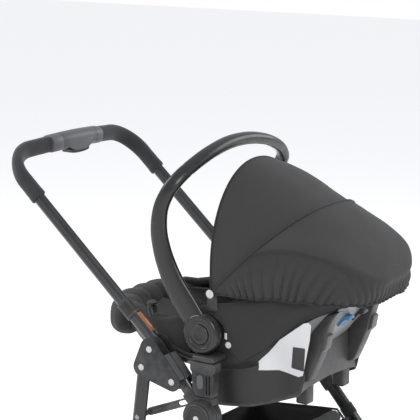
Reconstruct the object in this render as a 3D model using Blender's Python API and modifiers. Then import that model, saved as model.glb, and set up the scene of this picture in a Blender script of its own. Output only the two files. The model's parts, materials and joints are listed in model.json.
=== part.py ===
"""Travel system stroller: a folding chassis on four wheels with an infant carrier clipped on its adapters.

Metres, +Z up. The stroller faces -Y, the push handle is at +Y, and the ground is z = 0.
Side positions are pairs (y, z), with y counted from the hub axis, where the front legs,
the lower side tubes and the adapter posts meet.
"""
import math

import bmesh
import bpy
from mathutils import Matrix, Vector
from mathutils.bvhtree import BVHTree

# Driving dimensions of the chassis
HUB_Y = -0.0981             # hub axis, forward of the middle of the whole stroller
HUB_Z = 0.517               # hub axis above the ground
HUB_X = 0.236               # middle plane of the hub housings
HUB_DISC_RADIUS = 0.036
HUB_THICKNESS = 0.040
GAP = 0.0003                # between pieces that touch
FIT = 0.0008                # beside the tubes in their brackets
TURN_FIT = 0.0008           # round a stem or boss that turns in its bore
TUBE_DEPTH = 0.030          # oval side tubes, across their length in the side view
TUBE_WIDTH = 0.019
LEG_DEPTH = 0.032           # oval rear and front legs
LEG_WIDTH = 0.018
HANDLE_X = 0.222            # middle plane of the push handle's side tubes
REAR_LEG_X = 0.244          # middle plane of the rear legs at their pivots
REAR_LEG_SPLAY = 0.008      # how much further out their lower ends stand
PLATE = 0.003               # plates of the hinge brackets
FOLD_PIVOT = (0.120, 0.647)         # push handle on its bracket
REAR_LEG_PIVOT = (0.1406, 0.605)
REAR_LEG_END = (0.191, 0.172)
LOWER_RIVET = 0.084         # from the fold pivot, down the lower tube
RIVET_RADIUS = 0.004
GRIP_DISTANCE = 0.4267      # from the fold pivot to the lower ends of the foam grips
HANDLE_CORNER = (0.533, 1.0165)     # where the side tubes would meet the crossbar
HANDLE_CORNER_RADIUS = 0.072
HANDLE_MIDDLE = (0.510, 1.030)
FOAM_WALL = 0.0045
CONSOLE_WIDTH = 0.176
STRIP_START = 0.031         # lock indicator, from the fold pivot up the handle tube
STRIP_LENGTH = 0.051
SLEEVE_LENGTH = 0.040       # lock sleeve, just above the indicator
SLEEVE_WALL = 0.0028
FRONT_LEG_END = (-0.258, 0.252)
FRONT_LEG_END_X = 0.204
CROSSBAR_SHARE = 0.88       # how far down the front legs the crossbar sits
CROSSBAR_RADIUS = 0.0095
POST_X = 0.223
POST_WIDTH_Y = 0.062
POST_WIDTH_X = 0.027
POST_TOP = 0.632
POST_BASE = HUB_Z + HUB_DISC_RADIUS + 0.004 + GAP

# Wheels
REAR_WHEEL_RADIUS = 0.117
REAR_WHEEL_Y = 0.257
REAR_WHEEL_X = 0.2835
REAR_TYRE_WIDTH = 0.034
FRONT_WHEEL_RADIUS = 0.080
CASTER_Y = -0.277
CASTER_TRAIL = 0.046
CASTER_X = 0.203
FRONT_TYRE_WIDTH = 0.032
TYRE_DEPTH_SHARE = 0.20     # tyre's radial depth, of the wheel's radius
AXLE_RADIUS = 0.005
SPOKES = 5
HUB_SHARE = 0.92            # length of a wheel's hub, of the tyre's width
FORK_ARM = 0.006
FORK_CLEARANCE = 0.0035

# Basket
BASKET_HALF_WIDTH_REAR = 0.203
BASKET_HALF_WIDTH_FRONT = 0.176
BASKET_WALL = 0.004
BASKET_PROFILE = ((0.150, 0.408), (0.152, 0.285), (-0.210, 0.203), (-0.2375, 0.224),
                  (-0.2335, 0.268), (-0.085, 0.434))

# Infant carrier
CARRIER_HUB = (0.014, 0.688)        # axis of the carry handle
CARRIER_HUB_RADIUS = 0.042
SHELL_HALF_WIDTH = 0.196
CARRIER_HUB_FACE = SHELL_HALF_WIDTH + 0.0295        # outer faces of the carry handle's hubs
SHELL_FOOT = 0.322          # foot end of the shell
SHELL_HEAD = -0.326         # head end of the shell
SHELL_WALL = 0.005
COVER_THICKNESS = 0.004
COVER_CLEARANCE = 0.0022
RIM_CLEARANCE = 0.0006       # under the cover where it hangs on the rim
SKIRT_SHARES = (1.0, 0.75, 0.45, 0.0)    # rows of the cover's skirt, from its lower edge to the rim
HOOD_PIVOT = (-0.005, 0.775)
HOOD_HALF_WIDTH = SHELL_HALF_WIDTH + 0.0175
HOOD_WALL = 0.003
HOOD_SEAM_ANGLE = 44.0      # degrees back from upright
HOOD_FRONT_ANGLE = -5.0
CARRY_TOP = 1.060

OBJECT_NAME = "travel_system_stroller"

for leftover in list(bpy.data.objects):
    bpy.data.objects.remove(leftover, do_unlink=True)

parts = bpy.data.collections.new(OBJECT_NAME)
cutters = bpy.data.collections.new("cutters")
bpy.context.scene.collection.children.link(parts)
bpy.context.scene.collection.children.link(cutters)


def principled(name, colour, roughness, metallic=0.0):
    material = bpy.data.materials.new(name)
    material.use_nodes = True
    shader = material.node_tree.nodes["Principled BSDF"]
    shader.inputs["Base Color"].default_value = (*colour, 1.0)
    shader.inputs["Roughness"].default_value = roughness
    shader.inputs["Metallic"].default_value = metallic
    return material


GRAPHITE = principled("graphite_tube", (0.035, 0.035, 0.038), 0.38, 0.6)
PLASTIC = principled("dark_plastic", (0.030, 0.030, 0.031), 0.45)
SOFT_PLASTIC = principled("carrier_plastic", (0.040, 0.040, 0.041), 0.5)
CONSOLE = principled("console_plastic", (0.090, 0.090, 0.093), 0.45)
FOAM = principled("grip_foam", (0.045, 0.045, 0.046), 0.9)
RUBBER = principled("tyre_rubber", (0.020, 0.020, 0.020), 0.85)
FABRIC = principled("charcoal_fabric", (0.055, 0.055, 0.056), 0.95)
BLUE = principled("belt_guide", (0.05, 0.28, 0.62), 0.4)
WEBBING = principled("webbing", (0.020, 0.020, 0.021), 0.8)
PALE = principled("pale_plastic", (0.62, 0.62, 0.62), 0.4)
RED = principled("buckle_red", (0.45, 0.03, 0.03), 0.4)


def side_point(x, position):
    """World point in the side plane x, from a (y, z) pair counted from the hub axis."""
    return Vector((x, HUB_Y + position[0], position[1]))


def toward(start, end, distance):
    """The (y, z) pair at a distance from start on the line to end."""
    run = Vector(end) - Vector(start)
    point = Vector(start) + run.normalized() * distance
    return (point.x, point.y)


def mixed(start, end, share):
    return tuple(a + (b - a) * share for a, b in zip(start, end))


def add_object(name, mesh, material=None, collection=parts):
    thing = bpy.data.objects.new(name, mesh)
    collection.objects.link(thing)
    if material is not None:
        mesh.materials.clear()
        mesh.materials.append(material)
    return thing


def finish_bmesh(bm, name, material=None, collection=parts):
    bmesh.ops.recalc_face_normals(bm, faces=bm.faces)
    mesh = bpy.data.meshes.new(name)
    bm.to_mesh(mesh)
    bm.free()
    return add_object(name, mesh, material, collection)


def evaluated_mesh(thing):
    """The object's mesh with its modifiers, in world space, with a curve's caps welded."""
    bpy.context.view_layer.update()
    graph = bpy.context.evaluated_depsgraph_get()
    mesh = bpy.data.meshes.new_from_object(thing.evaluated_get(graph))
    mesh.transform(thing.matrix_world)
    bm = bmesh.new()
    bm.from_mesh(mesh)
    bmesh.ops.remove_doubles(bm, verts=bm.verts, dist=0.00001)
    bmesh.ops.recalc_face_normals(bm, faces=bm.faces)
    bm.to_mesh(mesh)
    bm.free()
    return mesh


def settle(thing):
    """Turns an object with its modifiers, or a curve, into a plain mesh at the origin."""
    mesh = evaluated_mesh(thing)
    mesh.name = thing.name
    name = thing.name
    collection = thing.users_collection[0]
    material = thing.data.materials[0] if thing.data.materials else None
    bpy.data.objects.remove(thing, do_unlink=True)
    return add_object(name, mesh, material, collection)


def combine(base, tools, operation):
    """Applies one Boolean per tool to the base and removes the tools."""
    for number, tool in enumerate(tools):
        modifier = base.modifiers.new(f"{operation.lower()}_{number}", "BOOLEAN")
        modifier.operation = operation
        modifier.solver = "EXACT"
        modifier.object = tool
    result = settle(base)
    for tool in tools:
        bpy.data.objects.remove(tool, do_unlink=True)
    return result


def joined(base, *tools):
    return combine(base, tools, "UNION")


def cut(base, *tools):
    return combine(base, tools, "DIFFERENCE")


def set_origin(thing, point):
    """Puts the object's origin on a joint's axis and keeps its mesh where it is."""
    thing.data.transform(Matrix.Translation(-Vector(point)))
    thing.location = point
    return thing


def smooth(thing, degrees=35.0):
    thing.data.shade_smooth()
    thing.data.set_sharp_from_angle(angle=math.radians(degrees))
    return thing


def rounded(thing, width, segments=2, degrees=35.0):
    modifier = thing.modifiers.new("rounded_edges", "BEVEL")
    modifier.width = width
    modifier.segments = segments
    modifier.limit_method = "ANGLE"
    modifier.angle_limit = math.radians(degrees)
    return settle(thing)


def box(name, low, high, material=None, collection=parts):
    bm = bmesh.new()
    bmesh.ops.create_cube(bm, size=1.0)
    size = Vector(high) - Vector(low)
    middle = (Vector(high) + Vector(low)) / 2
    bmesh.ops.transform(bm, verts=bm.verts, matrix=Matrix.Translation(middle) @ Matrix.Diagonal((*size, 1)))
    return finish_bmesh(bm, name, material, collection)


def cylinder(name, start, end, radius, material=None, sides=24, end_radius=None, collection=parts):
    """A cylinder or cone between two points, with its ends closed."""
    start, end = Vector(start), Vector(end)
    bm = bmesh.new()
    run = end - start
    bmesh.ops.create_cone(bm, cap_ends=True, segments=sides, radius1=radius,
                          radius2=radius if end_radius is None else end_radius, depth=run.length)
    turn = run.to_track_quat("Z", "Y").to_matrix().to_4x4()
    bmesh.ops.transform(bm, verts=bm.verts, matrix=Matrix.Translation((start + end) / 2) @ turn)
    return finish_bmesh(bm, name, material, collection)


def side_plate(name, outline, x_low, x_high, material=None, collection=parts):
    """A flat outline of (y, z) pairs in the side view, extruded from x_low to x_high."""
    bm = bmesh.new()
    corners = [bm.verts.new(side_point(x_low, point)) for point in outline]
    face = bm.faces.new(corners)
    grown = bmesh.ops.extrude_face_region(bm, geom=[face])
    moved = [item for item in grown["geom"] if isinstance(item, bmesh.types.BMVert)]
    bmesh.ops.translate(bm, verts=moved, vec=(x_high - x_low, 0, 0))
    return finish_bmesh(bm, name, material, collection)


def rounded_outline(discs, steps=5):
    """The outline, as (y, z) pairs, of a belt drawn round discs given as (y, z, radius), in turning order."""
    outline = []
    count = len(discs)
    for index, (y, z, radius) in enumerate(discs):
        before, after = discs[index - 1], discs[(index + 1) % count]
        first = belt_angle(before, (y, z, radius))
        last = belt_angle((y, z, radius), after)
        while last < first:
            last += 2 * math.pi
        for step in range(steps):
            angle = first + (last - first) * step / (steps - 1)
            outline.append((y + radius * math.cos(angle), z + radius * math.sin(angle)))
    return outline


def belt_angle(disc, following):
    """The direction in which the outer tangent from one disc to the next touches both."""
    run = math.atan2(following[1] - disc[1], following[0] - disc[0])
    distance = math.hypot(following[0] - disc[0], following[1] - disc[1])
    return run - math.pi / 2 + math.asin((following[2] - disc[2]) / distance)


def filleted_path(corners, steps=6):
    """World points along straight runs whose corners, given as (point, radius), are rounded."""
    points = []
    for index, (corner, radius) in enumerate(corners):
        corner = Vector(corner)
        if radius == 0:
            points.append(corner)
            continue
        back = (Vector(corners[index - 1][0]) - corner).normalized()
        ahead = (Vector(corners[index + 1][0]) - corner).normalized()
        half = back.angle(ahead) / 2
        reach = radius / math.tan(half)
        centre = corner + (back + ahead).normalized() * (radius / math.sin(half))
        first, last = corner + back * reach - centre, corner + ahead * reach - centre
        first.normalize()
        last.normalize()
        for step in range(steps + 1):
            points.append(centre + first.slerp(last, step / steps) * radius)
    return points


def oval_section(depth, width, sides=10):
    """A closed curve used as a tube's section: width along the tube's level side, depth across it."""
    curve = bpy.data.curves.new("oval_section", "CURVE")
    curve.dimensions = "2D"
    spline = curve.splines.new("POLY")
    spline.points.add(sides - 1)
    for index, point in enumerate(spline.points):
        angle = 2 * math.pi * index / sides
        point.co = (width / 2 * math.cos(angle), depth / 2 * math.sin(angle), 0, 1)
    spline.use_cyclic_u = True
    section = bpy.data.objects.new("oval_section", curve)
    cutters.objects.link(section)
    section.hide_render = True
    section.display_type = "WIRE"
    return section


def tube(name, points, depth, width=None, material=None, sides=10, collection=parts):
    """A round or oval tube along the points, as a welded mesh; its width stays level."""
    curve = bpy.data.curves.new(name, "CURVE")
    curve.dimensions = "3D"
    curve.twist_mode = "Z_UP"
    curve.use_fill_caps = True
    spline = curve.splines.new("POLY")
    spline.points.add(len(points) - 1)
    for point, place in zip(spline.points, points):
        point.co = (*place, 1)
    section = oval_section(depth, depth if width is None else width, sides)
    curve.bevel_mode = "OBJECT"
    curve.bevel_object = section
    thing = bpy.data.objects.new(name, curve)
    collection.objects.link(thing)
    if material is not None:
        curve.materials.append(material)
    result = settle(thing)
    bpy.data.objects.remove(section, do_unlink=True)
    return split_quads(result)


def split_quads(thing):
    """Splits four-sided faces the same way in every piece, so that a tube and its bore stay parallel in a bend."""
    bm = bmesh.new()
    bm.from_mesh(thing.data)
    quads = [face for face in bm.faces if len(face.verts) == 4]
    bmesh.ops.triangulate(bm, faces=quads, quad_method="FIXED")
    bm.to_mesh(thing.data)
    bm.free()
    return thing


def loft(name, rings, material=None, closed_ends=True, ends_from=None, collection=parts):
    """A skin over rings of equal point counts; every ring is a closed loop.

    The end loops are closed with strips that start at the corners ends_from, or at the quarter point."""
    bm = bmesh.new()
    loops = [[bm.verts.new(point) for point in ring] for ring in rings]
    count = len(rings[0])
    for lower, upper in zip(loops, loops[1:]):
        for index in range(count):
            following = (index + 1) % count
            bm.faces.new((lower[index], lower[following], upper[following]))
            bm.faces.new((lower[index], upper[following], upper[index]))
    if closed_ends:
        for loop in (loops[0], loops[-1]):
            close_across(bm, loop, *(ends_from or (count // 4, count // 4)))
    return finish_bmesh(bm, name, material, collection)


def close_across(bm, loop, low, high):
    """Closes a loop with strips that start between two of its corners, or at one, and run to its far side."""
    count = len(loop)
    for step in range((count - high + low) // 2):
        corners = [loop[(low - step) % count], loop[(low - step - 1) % count],
                   loop[(high + step + 1) % count], loop[(high + step) % count]]
        bm.faces.new(list(dict.fromkeys(corners)))


def turned(name, profile, centre, material=None, steps=28, start=0.0, collection=parts):
    """A profile of (radius, x offset) pairs, closed, spun about the x axis through a world point.

    The first corners lie at the angle start from straight down."""
    mesh = bpy.data.meshes.new(name)
    points = [(radius, 0, offset) for radius, offset in profile]
    edges = [(i, (i + 1) % len(points)) for i in range(len(points))]
    mesh.from_pydata(points, edges, [])
    thing = add_object(name, mesh, material, collection)
    screw = thing.modifiers.new("turned", "SCREW")
    screw.steps = steps
    screw.render_steps = steps
    screw.use_merge_vertices = True
    screw.merge_threshold = 0.00001
    thing.matrix_world = (Matrix.Translation(centre) @ Matrix.Rotation(start, 4, "X")
                          @ Matrix.Rotation(math.pi / 2, 4, "Y"))
    return settle(thing)


SIDES = (("right", -1), ("left", 1))


def hole(name, position, radius, x_low, x_high, sides=10):
    """A cutter for a cross hole at a (y, z) position."""
    return cylinder(name, side_point(x_low, position), side_point(x_high, position), radius,
                    sides=sides, collection=cutters)


def mirror_x(side, x_low, x_high):
    """The x limits on the given side of the stroller, lowest first."""
    return (x_low, x_high) if side > 0 else (-x_high, -x_low)


# Hinge brackets: three plates on each side, joined by a web in front of the lower tube
LOWER_END = toward((0, HUB_Z), FOLD_PIVOT, HUB_DISC_RADIUS + 0.004)
BRACKET_ROUND = 0.0235      # bracket's outline round the fold pivot
FLUSH = 0.0006              # skin of the middle plate left behind the rear-leg pivot
LOWER_START = toward(FOLD_PIVOT, (0, HUB_Z), BRACKET_ROUND)
RIVET_POINT = toward(FOLD_PIVOT, (0, HUB_Z), LOWER_RIVET)
INNER_PLATE = HANDLE_X - TUBE_WIDTH / 2 - FIT - PLATE
MIDDLE_PLATE = HANDLE_X + TUBE_WIDTH / 2 + FIT
LEG_GAP_START = REAR_LEG_X - LEG_WIDTH / 2 - FIT
OUTER_PLATE = REAR_LEG_X + LEG_WIDTH / 2 + FIT
BRACKET_FACE = OUTER_PLATE + PLATE
LOWER_RUN = (Vector((0, HUB_Z)) - Vector(FOLD_PIVOT)).normalized()
LOWER_FRONT = Vector((LOWER_RUN.y, -LOWER_RUN.x))       # square to the lower tube, to the front and up


def beside_lower_tube(along, out):
    """A (y, z) pair at a distance down the lower tube's axis and a distance in front of it."""
    point = Vector(FOLD_PIVOT) + LOWER_RUN * along + LOWER_FRONT * out
    return (point.x, point.y)


def make_bracket(label, side):
    outline = rounded_outline([(*RIVET_POINT, 0.0205), (*REAR_LEG_PIVOT, 0.0205), (*FOLD_PIVOT, BRACKET_ROUND)])
    bracket = side_plate(f"hinge_bracket_{label}", outline, *mirror_x(side, INNER_PLATE, BRACKET_FACE), PLASTIC)
    web = TUBE_DEPTH / 2 + 0.001
    web_start = BRACKET_ROUND + 0.001
    far = 0.16
    room = [beside_lower_tube(-far, far), beside_lower_tube(web_start, far), beside_lower_tube(web_start, web),
            beside_lower_tube(far, web), beside_lower_tube(far, -far), beside_lower_tube(-far, -far)]
    tube_slot = side_plate("tube_slot", room, *mirror_x(side, HANDLE_X - TUBE_WIDTH / 2 - FIT, MIDDLE_PLATE),
                           collection=cutters)
    leg_slot = side_plate("leg_slot", room, *mirror_x(side, LEG_GAP_START, OUTER_PLATE), collection=cutters)
    rivets = [make_rivet(side, FOLD_PIVOT, INNER_PLATE), make_rivet(side, RIVET_POINT, INNER_PLATE),
              make_rivet(side, REAR_LEG_PIVOT, MIDDLE_PLATE + FLUSH)]
    return smooth(joined(cut(bracket, tube_slot, leg_slot), *rivets))


def make_rivet(side, place, inner):
    """A headed pin through the plates; one that starts at the middle plate lies flush there."""
    outer, head, grip, bite = BRACKET_FACE, 0.0022, RIVET_RADIUS * 1.75, 0.0005
    profile = [(0, inner + bite), (RIVET_RADIUS, inner + bite)]
    if inner == INNER_PLATE:
        profile = [(0, inner - head), (grip * 0.7, inner - head), (grip, inner - head * 0.4),
                   (grip, inner + bite), (RIVET_RADIUS, inner + bite)]
    profile += [(RIVET_RADIUS, outer - bite), (grip, outer - bite), (grip, outer + head * 0.4),
                (grip * 0.7, outer + head), (0, outer + head)]
    return spun_pin("rivet", [(radius, side * offset) for radius, offset in profile], side_point(0, place), PLASTIC)


def make_lower_tube(label, side):
    x = side * HANDLE_X
    tube_piece = tube(f"lower_tube_{label}", [side_point(x, LOWER_START), side_point(x, LOWER_END)],
                      TUBE_DEPTH, TUBE_WIDTH, GRAPHITE)
    tube_piece = cut(tube_piece, hole("rivet_hole", RIVET_POINT, RIVET_RADIUS + GAP,
                                      *mirror_x(side, INNER_PLATE, BRACKET_FACE)))
    return smooth(tube_piece)


def spun_pin(name, profile, centre, material, steps=8):
    """An open profile of (radius, x offset) pairs that starts and ends on the x axis, spun into a solid."""
    mesh = bpy.data.meshes.new(name)
    points = [(radius, 0, offset) for radius, offset in profile]
    mesh.from_pydata(points, [(i, i + 1) for i in range(len(points) - 1)], [])
    thing = add_object(name, mesh, material)
    screw = thing.modifiers.new("spun", "SCREW")
    screw.steps = steps
    screw.render_steps = steps
    screw.use_merge_vertices = True
    screw.merge_threshold = 0.00001
    thing.matrix_world = Matrix.Translation(centre) @ Matrix.Rotation(math.pi / 2, 4, "Y")
    return settle(thing)


# Hub housings: a disc, a socket for the lower tube, one for the front leg, and a seat for the adapter post
HUB_INNER = HUB_X - HUB_THICKNESS / 2 - 0.003
HUB_OUTER = HUB_X + HUB_THICKNESS / 2
FRONT_LEG_START = toward((0, HUB_Z), FRONT_LEG_END, HUB_DISC_RADIUS + 0.004)
LINK_THICKNESS = 0.0045
SOCKET_WALL = 0.004         # of the hub housings round the tubes
LINK_X = HANDLE_X - TUBE_WIDTH / 2 - SOCKET_WALL - 0.0008 - LINK_THICKNESS / 2      # middle plane of the links
LINK_HALF_WIDTH = 0.0085
LINK_PIN_RADIUS = 0.003
LINK_LEG_POINT = toward(REAR_LEG_PIVOT, REAR_LEG_END, 0.1138)
LINK_HUB_POINT = (0.020, 0.546)
FOLD_RANGE = 105.0
REAR_FOLD = 30.0


def make_hub_housing(label, side):
    centre = (0, HUB_Z)
    low, high = mirror_x(side, HUB_INNER, HUB_OUTER)
    disc = cylinder(f"hub_housing_{label}", side_point(low, centre), side_point(high, centre),
                    HUB_DISC_RADIUS, PLASTIC, sides=20)
    tools = []
    tube_reach = toward(centre, FOLD_PIVOT, HUB_DISC_RADIUS + 0.024)
    leg_reach = toward(centre, FRONT_LEG_END, HUB_DISC_RADIUS + 0.030)
    tools.append(tube("tube_socket", [side_point(side * HANDLE_X, centre), side_point(side * HANDLE_X, tube_reach)],
                      TUBE_DEPTH + 2 * SOCKET_WALL, TUBE_WIDTH + 2 * SOCKET_WALL))
    tools.append(tube("leg_socket", [side_point(side * HUB_X, centre), side_point(side * front_leg_x(leg_reach), leg_reach)],
                      LEG_DEPTH + 2 * SOCKET_WALL, LEG_WIDTH + 2 * SOCKET_WALL))
    post_low, post_high = mirror_x(side, POST_X - POST_WIDTH_X / 2 + 0.002, POST_X + POST_WIDTH_X / 2 - 0.002)
    tools.append(box("post_seat", (post_low, HUB_Y - POST_WIDTH_Y / 2 + 0.006, HUB_Z),
                     (post_high, HUB_Y + POST_WIDTH_Y / 2 - 0.006, POST_BASE - GAP)))
    head = LINK_X - LINK_THICKNESS / 2 - 0.0008
    profile = [(0, head - 0.002), (LINK_PIN_RADIUS * 2.2, head - 0.002), (LINK_PIN_RADIUS * 2.2, head),
               (LINK_PIN_RADIUS, head), (LINK_PIN_RADIUS, HUB_INNER + 0.004), (0, HUB_INNER + 0.004)]
    tools.append(spun_pin("link_pin", [(radius, side * offset) for radius, offset in profile],
                          side_point(0, LINK_HUB_POINT), PLASTIC))
    housing = joined(disc, *tools)
    sockets = [
        tube("tube_bore", [side_point(side * HANDLE_X, toward(centre, FOLD_PIVOT, HUB_DISC_RADIUS + 0.0035)),
                           side_point(side * HANDLE_X, toward(centre, FOLD_PIVOT, HUB_DISC_RADIUS + 0.05))],
             TUBE_DEPTH + 2 * GAP, TUBE_WIDTH + 2 * GAP),
        tube("leg_bore", [front_leg_point(side, HUB_DISC_RADIUS + 0.0035), front_leg_point(side, HUB_DISC_RADIUS + 0.06)],
             LEG_DEPTH + 2 * GAP, LEG_WIDTH + 2 * GAP)]
    room_low, room_high = mirror_x(side, POST_X - POST_WIDTH_X / 2 - GAP, POST_X + POST_WIDTH_X / 2 + GAP)
    sockets.append(box("post_room", (room_low, HUB_Y - POST_WIDTH_Y / 2, POST_BASE - GAP),
                       (room_high, HUB_Y + POST_WIDTH_Y / 2 - 0.003, POST_TOP), collection=cutters))
    housing = cut(housing, *sockets)
    return smooth(housing)


def front_leg_x(position):
    """How far out the front leg's axis stands at a (y, z) pair on it."""
    whole = math.dist((0, HUB_Z), FRONT_LEG_END)
    share = math.dist((0, HUB_Z), position) / whole
    return HUB_X + (FRONT_LEG_END_X - HUB_X) * share


def front_leg_point(side, distance):
    position = toward((0, HUB_Z), FRONT_LEG_END, distance)
    return side_point(side * front_leg_x(position), position)


def make_hub_cap(label, side):
    """A stepped round cap on the outer face of the hub housing."""
    profile = [(0, 0), (0.031, 0), (0.031, 0.0018), (0.0285, 0.0038), (0.021, 0.0038), (0.0195, 0.0024),
               (0.0070, 0.0024), (0.0062, 0.0052), (0, 0.0052)]
    profile = [(radius, side * offset) for radius, offset in profile]
    return smooth(spun_pin(f"hub_cap_{label}", profile, side_point(side * (HUB_OUTER + GAP), (0, HUB_Z)),
                           PLASTIC, steps=16))


def make_front_leg(label, side):
    whole = math.dist((0, HUB_Z), FRONT_LEG_END)
    leg = tube(f"front_leg_{label}", [front_leg_point(side, HUB_DISC_RADIUS + 0.004), front_leg_point(side, whole)],
               LEG_DEPTH, LEG_WIDTH, GRAPHITE)
    return smooth(leg)


def make_front_crossbar():
    """A round bar between the front legs, with a flat-ended saddle against each."""
    whole = math.dist((0, HUB_Z), FRONT_LEG_END)
    position = toward((0, HUB_Z), FRONT_LEG_END, whole * CROSSBAR_SHARE)
    inner = front_leg_x(position) - LEG_WIDTH / 2 - 0.0012
    middle = (position[0] - 0.014, position[1] - 0.004)
    corners = [(side_point(-inner, position), 0), (side_point(-inner + 0.035, position), 0.03),
               (side_point(-inner + 0.085, middle), 0.06), (side_point(inner - 0.085, middle), 0.06),
               (side_point(inner - 0.035, position), 0.03), (side_point(inner, position), 0)]
    bar = tube("front_crossbar", filleted_path(corners, 3), CROSSBAR_RADIUS * 2, None, GRAPHITE, sides=10)
    return smooth(bar)


def make_adapter_post(label, side):
    """The ribbed upright that carries the infant carrier, with a slot for its release button."""
    x_low, x_high = mirror_x(side, POST_X - POST_WIDTH_X / 2, POST_X + POST_WIDTH_X / 2)
    base = POST_BASE
    half = POST_WIDTH_Y / 2
    outline = [(-half + 0.007, base), (half - 0.0155, base), (half - 0.006, base + 0.012), (half - 0.004, POST_TOP - 0.024),
               (half, POST_TOP - 0.018), (half, POST_TOP), (-half, POST_TOP), (-half, POST_TOP - 0.018),
               (-half + 0.004, POST_TOP - 0.024), (-half + 0.006, base + 0.012)]
    post = side_plate(f"adapter_post_{label}", outline, x_low, x_high, PLASTIC)
    post = rounded(post, 0.003)
    button = side_plate("button_slot", rounded_outline([(0.004, base + 0.026, 0.0085), (0.004, POST_TOP - 0.034, 0.0085)]),
                        *mirror_x(side, POST_X + POST_WIDTH_X / 2 - 0.007, POST_X + POST_WIDTH_X / 2 + 0.01),
                        collection=cutters)
    grooves = [box("groove", (mirror_x(side, POST_X + POST_WIDTH_X / 2 - 0.0025, POST_X + POST_WIDTH_X / 2 + 0.01)[0],
                              HUB_Y + y - 0.002, base + 0.010),
                   (mirror_x(side, POST_X + POST_WIDTH_X / 2 - 0.0025, POST_X + POST_WIDTH_X / 2 + 0.01)[1],
                    HUB_Y + y + 0.002, POST_TOP - 0.026), collection=cutters) for y in (-0.019, -0.012)]
    return smooth(cut(post, button, *grooves))


def make_adapter_button(label, side):
    base = POST_BASE
    outline = rounded_outline([(0.004, base + 0.026, 0.0081), (0.004, POST_TOP - 0.034, 0.0081)])
    seat = POST_X + POST_WIDTH_X / 2 - 0.007
    button = side_plate(f"adapter_button_{label}", outline, *mirror_x(side, seat + 0.0035, seat + 0.0088), SOFT_PLASTIC)
    return smooth(button)


def make_basket():
    """An open trough with a sloping front, hung between the front legs."""
    def half_width(y):
        rear, front = BASKET_PROFILE[1][0], BASKET_PROFILE[3][0]
        share = min(1.0, max(0.0, (rear - y) / (rear - front)))
        return BASKET_HALF_WIDTH_REAR + (BASKET_HALF_WIDTH_FRONT - BASKET_HALF_WIDTH_REAR) * share
    bm = bmesh.new()
    left = [bm.verts.new(side_point(half_width(p[0]), p)) for p in BASKET_PROFILE]
    right = [bm.verts.new(side_point(-half_width(p[0]), p)) for p in BASKET_PROFILE]
    bm.faces.new(left)
    bm.faces.new(reversed(right))
    for index in range(len(left) - 1):
        bm.faces.new((left[index], right[index], right[index + 1], left[index + 1]))
    bmesh.ops.recalc_face_normals(bm, faces=bm.faces)
    rim = {left[0], right[0], left[-1], right[-1]}
    lower = [edge for edge in bm.edges if len(edge.link_faces) == 2 and not set(edge.verts) <= rim]
    bmesh.ops.bevel(bm, geom=lower, offset=0.028, segments=3, profile=0.5, affect="EDGES", material=-1)
    basket = finish_bmesh(bm, "basket", FABRIC)
    solid = basket.modifiers.new("wall", "SOLIDIFY")
    solid.thickness = BASKET_WALL
    solid.offset = -1
    return smooth(settle(basket))


# Push handle: one bent oval tube with two foam grips, a console and its squeeze trigger
HANDLE_END = toward(FOLD_PIVOT, HANDLE_CORNER, -0.012)
GRIP_START = toward(FOLD_PIVOT, HANDLE_CORNER, GRIP_DISTANCE)
CROSSBAR_FILLET = 0.6
CONSOLE_DEPTH = 0.040
CONSOLE_LENGTH_Y = 0.044
TRIGGER_HALF = 0.036
TRIGGER_TRAVEL = 0.006
TRIGGER_LOW = 0.034         # how far the trigger hangs below the crossbar's axis
LUG_LOW = 0.027


def handle_x_path(start_position):
    """The handle's centre line from a place on the right tube, over the crossbar, to its mirror place."""
    corners = []
    for side in (-1, 1):
        lower = (side_point(side * HANDLE_X, start_position), 0)
        bend = (side_point(side * HANDLE_X, HANDLE_CORNER), HANDLE_CORNER_RADIUS)
        corners += [lower, bend] if side < 0 else [(side_point(0, HANDLE_MIDDLE), CROSSBAR_FILLET), bend, lower]
    return filleted_path(corners, 4)


def crossbar_point(x):
    share = 1 - abs(x) / HANDLE_X
    return side_point(x, mixed(HANDLE_CORNER, HANDLE_MIDDLE, share))


def handle_bore():
    return tube("handle_bore", handle_x_path(HANDLE_END), TUBE_DEPTH + 2 * GAP, TUBE_WIDTH + 2 * GAP)


def make_handle_tube():
    handle = tube("handle_tube", handle_x_path(HANDLE_END), TUBE_DEPTH, TUBE_WIDTH, GRAPHITE)
    holes = [hole("pivot_hole", FOLD_PIVOT, RIVET_RADIUS + GAP, *mirror_x(side, INNER_PLATE, BRACKET_FACE))
             for label, side in SIDES]
    return smooth(cut(handle, *holes))


def make_grip_foam(label, side):
    whole = [point for point in handle_x_path(GRIP_START) if point.x * side > CONSOLE_WIDTH / 2]
    inner_end = crossbar_point(side * (CONSOLE_WIDTH / 2 + GAP))
    path = whole + [inner_end] if side < 0 else [inner_end] + whole
    foam = tube(f"grip_foam_{label}", path, TUBE_DEPTH + 2 * FOAM_WALL, TUBE_WIDTH + 2 * FOAM_WALL, FOAM)
    return smooth(cut(foam, handle_bore()))


def front_plate(name, outline, y_low, y_high, material=None, collection=parts):
    """A flat outline of (x, z) pairs in the front view, extruded along y."""
    bm = bmesh.new()
    face = bm.faces.new([bm.verts.new((x, y_low, z)) for x, z in outline])
    grown = bmesh.ops.extrude_face_region(bm, geom=[face])
    moved = [item for item in grown["geom"] if isinstance(item, bmesh.types.BMVert)]
    bmesh.ops.translate(bm, verts=moved, vec=(0, y_high - y_low, 0))
    return finish_bmesh(bm, name, material, collection)


def trigger_outline(half, low, high, steps=8):
    """A flat top with a rounded belly, as (x, z) pairs."""
    belly = [(half * math.cos(math.pi * (1 + step / steps)), low + (high - low) * 0.55
              + (high - low) * 0.55 * math.sin(math.pi * (1 + step / steps))) for step in range(steps + 1)]
    return [(half, high), (-half, high)] + belly


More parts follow.
